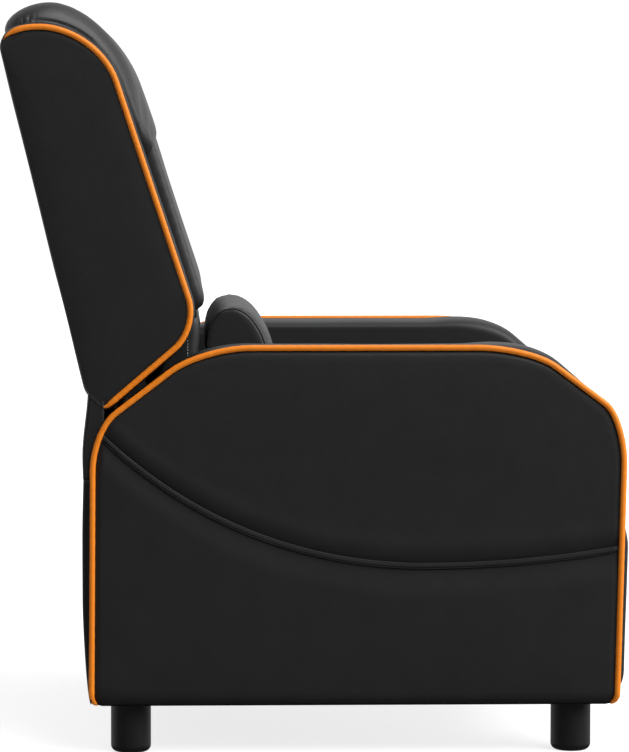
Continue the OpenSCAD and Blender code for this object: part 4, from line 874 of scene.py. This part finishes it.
def makeHeadPad():
    # head pad: a wedge in side view that hooks over the top of the back. It narrows to the front,
    # with pleats at its rear corners and a fold ahead of them
    foot, top, wide = headPad["foot"], headPad["top"], headPad["wide"]
    line = cornerOutline([
        (frontLine(foot) - 0.0250, boxTop + foot, 0.012, 0.007, 2.0),
        (0.2245, boxTop + foot - 0.0215, 0.012, 0.008, 2.0),
        (0.262, boxTop + foot - 0.012, 0.004, 0.004, 2), (0.392, boxTop + 0.886, 0.004, 0.004, 2),
        (0.4128, boxTop + 0.8965, 0.004, 0.006, 2), (0.4080, boxTop + top - 0.0055, 0.034, 0.056, 2.0),
        (frontLine(top) - 0.0215, boxTop + top + 0.001, 0.075, 0.115, 2.0)], 24)
    pad, points, normals = makePad("head_pad", line, wide, headPad, lambda p: np.maximum(
        ease((p[:, 1] - (frontLine(p[:, 2] - boxTop) + 0.012)) / 0.01) * (p[:, 2] < boxTop + 0.90),
        ease((np.abs(p[:, 0]) - 0.345) / 0.008)), lean=backLean)
    points[:, 0] *= 1 + (headPad["frontWide"] / wide - 1) * ease((0.385 - points[:, 1]) / 0.09)
    x, y, z = points.T
    nearEnd = ease((np.abs(x) - 0.322) / 0.02)
    wing = wingOutline()
    wing = wing[(wing[:, 1] > boxTop + 0.80) & (wing[:, 0] > 0.24)]
    wing = wing[np.argsort(wing[:, 0])]
    above = z - np.interp(y, wing[:, 0], wing[:, 1])
    pleat = headPad["pleat"] * np.sin((y + 0.2 * above) * 2 * math.pi / headPad["pleatPitch"])
    pleat = pleat * bell(y - headPad["pleatY"], 0.011) * (1 - ease((above - 0.010) / 0.014))
    fold = -headPad["fold"] * bell(above - headPad["foldHigh"], headPad["foldWide"])
    fold = fold * ease((y - 0.285) / 0.02) * (1 - ease((y - 0.368) / 0.012))
    uneven = headPad["uneven"] * slowWaves(x, z, headPad["unevenLength"], 0.7)
    movePoints(pad, points + normals * (pleat * nearEnd * (above > -0.01) + fold * nearEnd + uneven)[:, None])
    count = headPad["seamPoints"]
    seamY = np.linspace(0.372, 0.300, count)
    seamZ = np.interp(seamY, wing[:, 0], wing[:, 1]) + headPad["seamHigh"]
    for side, word in sides:
        path = snap(pad, np.column_stack([np.full(count, side * wide), seamY, seamZ]))[0]
        thread = tube(word + "_head_pad_seam", path, headPad["seamRadius"] * taper(count, 0.1), blackThread, 6)
        standIn(thread, [], "back")
    return finishPad(pad, "headrest_pad")


backPad = {"foot": 0.521, "top": 0.795, "wide": 0.312, "edge": 0.020, "power": 2.4, "grid": (150, 70),
           "puff": (0.0055, 0.0055, 2.0), "channelX": 0.105, "channelWide": 0.006, "channelDeep": 0.005, "uneven": 0.0008}


def makeBackPad():
    # back pad: a flat block in front of the back, its top under the head pad, with two sewn channels down it
    foot, top = backPad["foot"], backPad["top"]
    line = cornerOutline([
        (frontLine(foot) - 0.0215, boxTop + foot - 0.001, 0.026, 0.050, 2.0), (0.205, boxTop + foot, 0.004, 0.004, 2),
        (frontLine(top) + 0.02, boxTop + top, 0.004, 0.004, 2),
        (frontLine(top) - 0.0235, boxTop + top, 0.014, 0.014, 2)], 24)
    pad, points, normals = makePad("back_pad_cushion", line, backPad["wide"], backPad, lambda p: np.maximum(
        ease((p[:, 1] - (frontLine(p[:, 2] - boxTop) + 0.006)) / 0.01), np.maximum(
            0.9 * channelAt(backPad, p), 0.85 * ease((np.abs(p[:, 0]) - 0.292) / 0.012))), lean=backLean)
    channel = -backPad["channelDeep"] * channelAt(backPad, points) * (normals[:, 1] < -0.3)
    uneven = backPad["uneven"] * slowWaves(points[:, 0], points[:, 2], 0.14, 2.7)
    movePoints(pad, points + normals * (channel + uneven)[:, None])
    return finishPad(pad, "back_pad")


lowerPad = {"sideIn": 0.001, "edge": 0.018, "power": 2.4, "grid": (130, 60),
            "channelX": 0.105, "channelWide": 0.006, "channelDeep": 0.004,
            "rowPoints": 120, "rowBehind": 0.0035, "pitch": 0.0042, "length": 0.0026, "thick": 0.0006}


def makeLowerBackPad():
    # lower back pad: a block that leans with the back, with two channels and a row of stitches down each side
    low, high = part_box("lower_back_pad")
    wide = high.x - lowerPad["sideIn"]
    line = cornerOutline([
        (low.y + 0.006, low.z + 0.002, 0.012, 0.03, 2), (low.y + 0.034, low.z + 0.001, 0.006, 0.006, 2),
        (high.y - 0.004, high.z - 0.120, 0.006, 0.006, 2), (high.y - 0.052, high.z - 0.004, 0.006, 0.006, 2),
        (low.y - 0.0165, high.z + 0.012, 0.008, 0.03, 2)], 20)
    pad, points, normals = makePad("lower_back_cushion", line, wide, lowerPad)
    channel = -lowerPad["channelDeep"] * channelAt(lowerPad, points) * (normals[:, 1] < -0.3)
    movePoints(pad, points + normals * channel[:, None])
    rise = np.linspace(low.z + 0.03, high.z - 0.02, lowerPad["rowPoints"])
    for side, word in sides:
        row = np.column_stack([np.full(len(rise), side * wide), low.y + lowerPad["rowBehind"] + 0 * rise, rise])
        row = stitches(word + "_lower_back_stitches", *snap(pad, row), paleThread, lowerPad["pitch"], lowerPad["length"],
                       lowerPad["thick"])
        standIn(row, [], "back")
    return finishPad(pad, "lower_back_pad")


seatPad = {"edge": 0.022, "power": 2.4, "rearDrop": 0.026, "grid": (190, 80), "puff": (0.006, 0.012, 2.4),
           "channelX": 0.094, "channelWide": 0.006, "channelDeep": 0.006, "uneven": 0.0008}


def makeSeatCushion():
    # seat cushion: a block whose top falls to the rear, with two sewn channels, kept inside its solid's foot and sides
    low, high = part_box("seat_cushion")
    line = cornerOutline([
        (low.y + 0.004, low.z + 0.004, 0.020, 0.020, 2), (high.y - 0.002, low.z + 0.002, 0.006, 0.006, 2),
        (high.y - 0.002, high.z - seatPad["rearDrop"], 0.014, 0.05, 2),
        (low.y + 0.004, high.z - 0.006, 0.06, 0.04, 2.2)], 26)
    pad, points, normals = makePad("seat_cushion_pad", line, high.x - 0.003, seatPad, lambda p: np.maximum(
        ease((low.z + 0.012 - p[:, 2]) / 0.008), 0.9 * channelAt(seatPad, p)))
    x, y, z = points.T
    channel = -seatPad["channelDeep"] * channelAt(seatPad, points) * (z > low.z + 0.02)
    moved = points + normals * (channel + seatPad["uneven"] * slowWaves(x, y, 0.16, 1.9))[:, None]
    moved[:, 2] = np.maximum(moved[:, 2], low.z)
    moved[:, 0] = np.clip(moved[:, 0], low.x, high.x)
    movePoints(pad, moved)
    return finishPad(pad, "seat_cushion")


facing = {"gap": 0.0012, "ahead": 0.010, "skin": 0.0015, "sideIn": 0.0003, "edge": 0.0008}


def makeSeatFacing():
    # the leather facing over the seat's front rail: an L in side view, ahead of the rail and under it
    low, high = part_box("seat_front_rail")
    gap, ahead, under = facing["gap"], low.y - facing["ahead"], low.z - facing["gap"] - facing["skin"]
    line = cornerOutline([
        (ahead, under, 0.006, 0.006, 2), (high.y + gap, under, 0.002, 0.002, 2),
        (high.y + gap, low.z - gap, 0.0004, 0.0004, 2), (low.y - gap, low.z - gap, 0.001, 0.001, 2),
        (low.y - gap, high.z - 0.001, 0.001, 0.001, 2), (ahead, high.z - 0.001, 0.003, 0.003, 2)], 12)
    wide = high.x - facing["sideIn"]
    piece = padBlock("seat_front_facing", line, wide, facing["edge"], 2.0, blackLeather, 110, 50)
    return standIn(piece, [], "seat")


pillow = {"tall": 0.160, "thick": 0.094, "wide": 0.194, "round": 2.1, "edge": 0.005, "power": 2.0, "grid": (130, 80),
          "crown": (0.0058, 0.075), "anchor": (0.97, 0.70), "puff": (0.0042, 0.0045, 2.2), "lean": -12, "y": 0.0745,
          "up": 0.0115, "seam": 0.0012, "pucker": 0.0005, "puckers": 40, "uneven": 0.0010,
          "ringPoints": 300, "ringRadius": 0.0011}


def makePillow():
    # lumbar pillow: a lens in section, its ends drawn in to a boxed end panel with a seam round it
    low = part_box("lumbar_pillow")[0]
    tall, wide, curve = pillow["tall"], pillow["wide"], pillow["round"]
    deep, up, anchor = pillow["thick"] / 2, tall / 2, np.array(pillow["anchor"])
    line = cornerOutline([(-deep, 0, up, deep, curve), (deep, 0, deep, up, curve), (deep, tall, up, deep, curve),
                          (-deep, tall, deep, up, curve)], 24)
    pad, points, normals = makePad("lumbar_cushion", line, wide, pillow, lambda p: 0.9 * ease(
        (np.abs(p[:, 0]) - wide + 0.014) / 0.008), crown=pillow["crown"], anchor=anchor)
    fromEnd = np.abs(points[:, 0]) - wide
    seam = -pillow["seam"] * bell(fromEnd + 0.005, 0.0022)
    run = np.arctan2(points[:, 2] - up, points[:, 1])
    pucker = pillow["pucker"] * np.sin(run * pillow["puckers"]) * bell(fromEnd + 0.015, 0.007)
    uneven = pillow["uneven"] * slowWaves(points[:, 0], points[:, 2], 0.11, 0.3)
    points = points + normals * (seam + pucker + uneven)[:, None]
    cosine, sine = (turn(math.radians(pillow["lean"])) for turn in (math.cos, math.sin))

    def leaned(x, y, z):
        # turned about X by the lean and set down on the seat
        return np.column_stack([x, y * cosine - z * sine + pillow["y"], y * sine + z * cosine + low.z + pillow["up"]])

    movePoints(pad, leaned(*points.T))
    half = np.array([deep, up])
    rest = [0, up] + half * anchor
    shrink, over = pillow["crown"]
    pull = shrink * (1 - math.sqrt(1 - (1 - pillow["edge"] / over) ** 2)) + pillow["seam"]
    ring = rest + (evenly(line, pillow["ringPoints"]) - rest) * (1 - pull / half)
    ring = np.vstack([ring, ring[:1]])
    for side, word in sides:
        path, outward = snap(pad, leaned(np.full(len(ring), side * (wide - 0.001)), *ring.T))
        cord = tube(word + "_lumbar_seam", path + outward * 0.0003, pillow["ringRadius"], blackThread, 6)
        standIn(cord, [], "seat")
    return finishPad(pad, "lumbar_pillow")


footPad = {"edge": 0.016, "power": 2.3, "grid": (120, 60), "channelX": 0.094, "channelWide": 0.005, "channelDeep": 0.004}


def makeFootrestPad():
    # footrest pad: a block with two channels, its rear kept flat on the board
    low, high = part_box("footrest_pad")
    line = cornerOutline([
        (low.y + 0.003, low.z + 0.002, 0.016, 0.016, 2.2), (high.y - 0.0005, low.z + 0.001, 0.004, 0.004, 2),
        (high.y - 0.0005, high.z - 0.001, 0.004, 0.004, 2), (low.y + 0.003, high.z - 0.002, 0.016, 0.016, 2.2)], 20)
    pad, points, normals = makePad("footrest_cushion", line, high.x - 0.001, footPad)
    channel = -footPad["channelDeep"] * channelAt(footPad, points) * (normals[:, 1] < -0.2)
    moved = points + normals * channel[:, None]
    moved[:, 1] = np.minimum(moved[:, 1], high.y)
    movePoints(pad, moved)
    return finishPad(pad, "footrest_pad")


lining = {"skin": 0.0022, "frontIn": 0.0006, "edge": 0.002}


def makeFootrestLining():
    # leather turned over the edges and the rear of the footrest's board: its box, larger by the skin but for the front
    low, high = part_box("footrest_board")
    skin, front = lining["skin"], low.y + lining["frontIn"]
    line = cornerOutline([
        (front, low.z - skin, 0.0005, 0.0005, 2), (high.y + skin, low.z - skin, 0.003, 0.003, 2),
        (high.y + skin, high.z + skin, 0.003, 0.003, 2), (front, high.z + skin, 0.0005, 0.0005, 2)], 12)
    piece = padBlock("footrest_lining", line, high.x + skin, lining["edge"], 2.0, blackLeather, 120, 40)
    return standIn(piece, [], "footrest")


rearPanel = {"endOver": 0.035, "footOver": 0.45, "footSwell": 0.12, "topFall": 0.12, "free": 0.0015, "skin": 0.0002,
             "uneven": 0.0004}


def makeRearCover():
    # rear cover: a shallow pad across both arms, a quarter superellipse at its foot and ends, falling a little at the top
    low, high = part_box("rear_cover")
    u, v = np.meshgrid(np.linspace(-1, 1, 81), np.linspace(0, 1, 61), indexing="ij")
    x = high.x * np.sin(u * math.pi / 2)
    z = low.z + (high.z - low.z) * v
    upFoot = rearPanel["footSwell"] + (1 - rearPanel["footSwell"]) * dome(v / rearPanel["footOver"], 1.5)
    edge = dome((1 - np.abs(x) / high.x) / rearPanel["endOver"], 2.2) * upFoot
    swell = (high.y - low.y - rearPanel["free"]) * edge * (1 - rearPanel["topFall"] * ease((v - 0.75) / 0.3))
    swell = swell + rearPanel["uneven"] * slowWaves(x, z, 0.2, 0.9) * edge
    outer = np.stack([x, low.y + rearPanel["skin"] + swell, z], -1)
    inner = np.stack([x, np.full_like(x, low.y), z], -1)
    # the cover takes the darker leather, painted shade
    cover = closedSheet("rear_cover_panel", outer, inner, rearShadeLeather)
    return standIn(cover, ["rear_cover"])


skirt = {"over": 0.004, "past": 0.003, "rearY": 0.3015, "slant": 0.0065, "belly": 0.0012, "frontGap": 0.0030,
         "frontLeast": 0.2795, "leastDeep": 0.004, "sideOut": 0.0066, "turnAt": 0.93, "bend": 0.035, "thick": 0.0016,
         "ripple": 0.0010, "keep": 0.3}


def makeRearFlap():
    # the skirt under the back: a U in plan whose sides reach forward to the arms, hanging from the back's underside
    # to the cover. Its rear slants and bellies out a little
    low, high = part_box("rear_flap")
    outline = armOutline()
    rearSide = outline[(outline[:, 0] > 0.15) & (outline[:, 1] > boxTop + 0.1)]
    rearSide = rearSide[np.argsort(rearSide[:, 1])]
    v = np.linspace(0, 1, 41)
    z = high.z + skirt["over"] - (high.z + skirt["over"] - low.z + skirt["past"]) * v
    rearY = skirt["rearY"] + skirt["slant"] * ease(v / 0.8) + skirt["belly"] * np.sin(v * math.pi)
    frontY = np.interp(z, rearSide[:, 1], rearSide[:, 0]) + skirt["frontGap"]
    frontY = np.maximum(np.minimum(frontY, rearY - skirt["leastDeep"]), skirt["frontLeast"])
    u = np.linspace(-1, 1, 241)[:, None]
    turnAt, bend = skirt["turnAt"], skirt["bend"]
    along = np.clip((np.abs(u) - turnAt) / (1 - turnAt), 0, 1)
    corner = ease((np.abs(u) - turnAt + bend) / (2 * bend))
    across = (high.x + skirt["sideOut"]) * np.minimum(np.abs(u) / turnAt, 1)
    x = np.sign(u) * (across - 0.006 * (1 - along) * corner * (np.abs(u) < turnAt))
    y = rearY[None] - (rearY - frontY)[None] * along ** 1.2 - 0.003 * corner * (1 - along)
    ripple = skirt["ripple"] * slowWaves(x + 0 * y, 0.3 * z[None] + 0 * y, 0.09, 1.6) * v[None] * (1 - along)
    outer = np.stack([x + 0 * y, y + ripple, z[None] + 0 * y], -1)
    inner = outer.copy()
    inner[..., 0] -= skirt["thick"] * np.sign(u) * along ** 0.2
    inner[..., 1] -= skirt["thick"] * (1 - along)
    flap = closedSheet("rear_flap_skirt", outer, inner, blackLeather)
    standIn(flap, ["rear_flap"])
    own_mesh(flap)
    return flap


for make in (makeHeadPad, makeBackPad, makeLowerBackPad, makeSeatCushion, makeSeatFacing, makePillow, makeFootrestPad,
             makeFootrestLining, makeRearCover, makeRearFlap):
    piece = make()
    print("made", piece.name, len(piece.data.polygons), "faces")

# floor and light
studio = {"floorWide": 14.0, "floorDark": (0.36, 0.36, 0.36), "floorLight": (0.39, 0.39, 0.39), "floorGlow": 0.80,
          "sun": 3.85, "sunSoft": 50.0, "sunFrom": (-0.42, -0.50, 0.76),
          "frontPower": 60.0, "frontAt": (-0.9, -3.2, 1.6), "frontAim": (0, 0.1, 0.8), "frontWide": 2.4, "frontHigh": 1.8,
          "behind": 0.85, "inFront": 0.09, "backdrop": 1.05, "deepRange": (-0.25, 0.35), "riseRange": (-0.30, 0.05)}


def makeFloor():
    # a pale level floor that glows a little, to the camera only
    t = np.linspace(-studio["floorWide"], studio["floorWide"], 9)
    x, y = np.meshgrid(t, t, indexing="ij")
    made, tree, shader = blankMaterial("paleFloor")
    place = addNode(tree, "TexCoord").outputs["Object"]
    cloud = addNode(tree, "TexNoise", {"Vector": place, "Scale": 3.0}).outputs["Fac"]
    seen = addNode(tree, "LightPath").outputs["Is Camera Ray"]
    glow = addNode(tree, "Math", {0: seen, 1: studio["floorGlow"]}, operation="MULTIPLY").outputs["Value"]
    fill(tree, shader, {"Base Color": between(tree, cloud, studio["floorDark"], studio["floorLight"]),
                        "Emission Strength": glow, "Emission Color": (1, 1, 1, 1), "Roughness": 0.9})
    floor = makeMesh("studio_floor", [(np.stack([x, y, 0 * x], -1), False, False)], made, closed=False)
    floor.visible_glossy = False


def lamp(name, kind, place, aim, power):
    # a light at a place, turned so that its -Z points at the aim
    data = bpy.data.lights.new(name, kind)
    data.energy = power
    item = bpy.data.objects.new(name, data)
    item.location = place
    way = np.array(place, float) - np.array(aim, float)
    item.rotation_euler = (math.atan2(math.hypot(way[0], way[1]), way[2]), 0, math.atan2(way[1], way[0]) + math.pi / 2)
    bpy.context.scene.collection.objects.link(item)
    return data


def makeAir():
    # the air's strength rises from in front of the chair to behind it and from below to above, as the product of two
    # ramps over the direction, and the camera sees an even backdrop instead
    world = bpy.data.worlds.new("studioAir")
    world.use_nodes = True
    tree = world.node_tree
    way = addNode(tree, "SeparateXYZ", {"Vector": addNode(tree, "TexCoord").outputs["Generated"]}).outputs
    ramps = [addNode(tree, "MapRange", {"Value": way[label], "From Min": low, "From Max": high})
             for label, (low, high) in (("X", studio["deepRange"]), ("Z", studio["riseRange"]))]
    air = addNode(tree, "Math", {k: ramp.outputs["Result"] for k, ramp in enumerate(ramps)}, operation="MULTIPLY")
    strength = addNode(tree, "Mix", {"A": between(tree, air.outputs["Value"], studio["inFront"], studio["behind"]),
                                     "B": studio["backdrop"],
                                     "Factor": addNode(tree, "LightPath").outputs["Is Camera Ray"]})
    fill(tree, tree.nodes["Background"], {"Color": (1, 1, 1, 1), "Strength": strength.outputs["Result"]})
    bpy.context.scene.world = world
    bpy.context.scene.view_settings.view_transform = "Standard"


makeFloor()
key = lamp("keyLight", "SUN", studio["sunFrom"], (0, 0, 0), studio["sun"])
key.angle = math.radians(studio["sunSoft"])
front = lamp("frontLight", "AREA", studio["frontAt"], studio["frontAim"], studio["frontPower"])
front.shape, front.size, front.size_y = "RECTANGLE", studio["frontWide"], studio["frontHigh"]
makeAir()
print("floor and light ready")
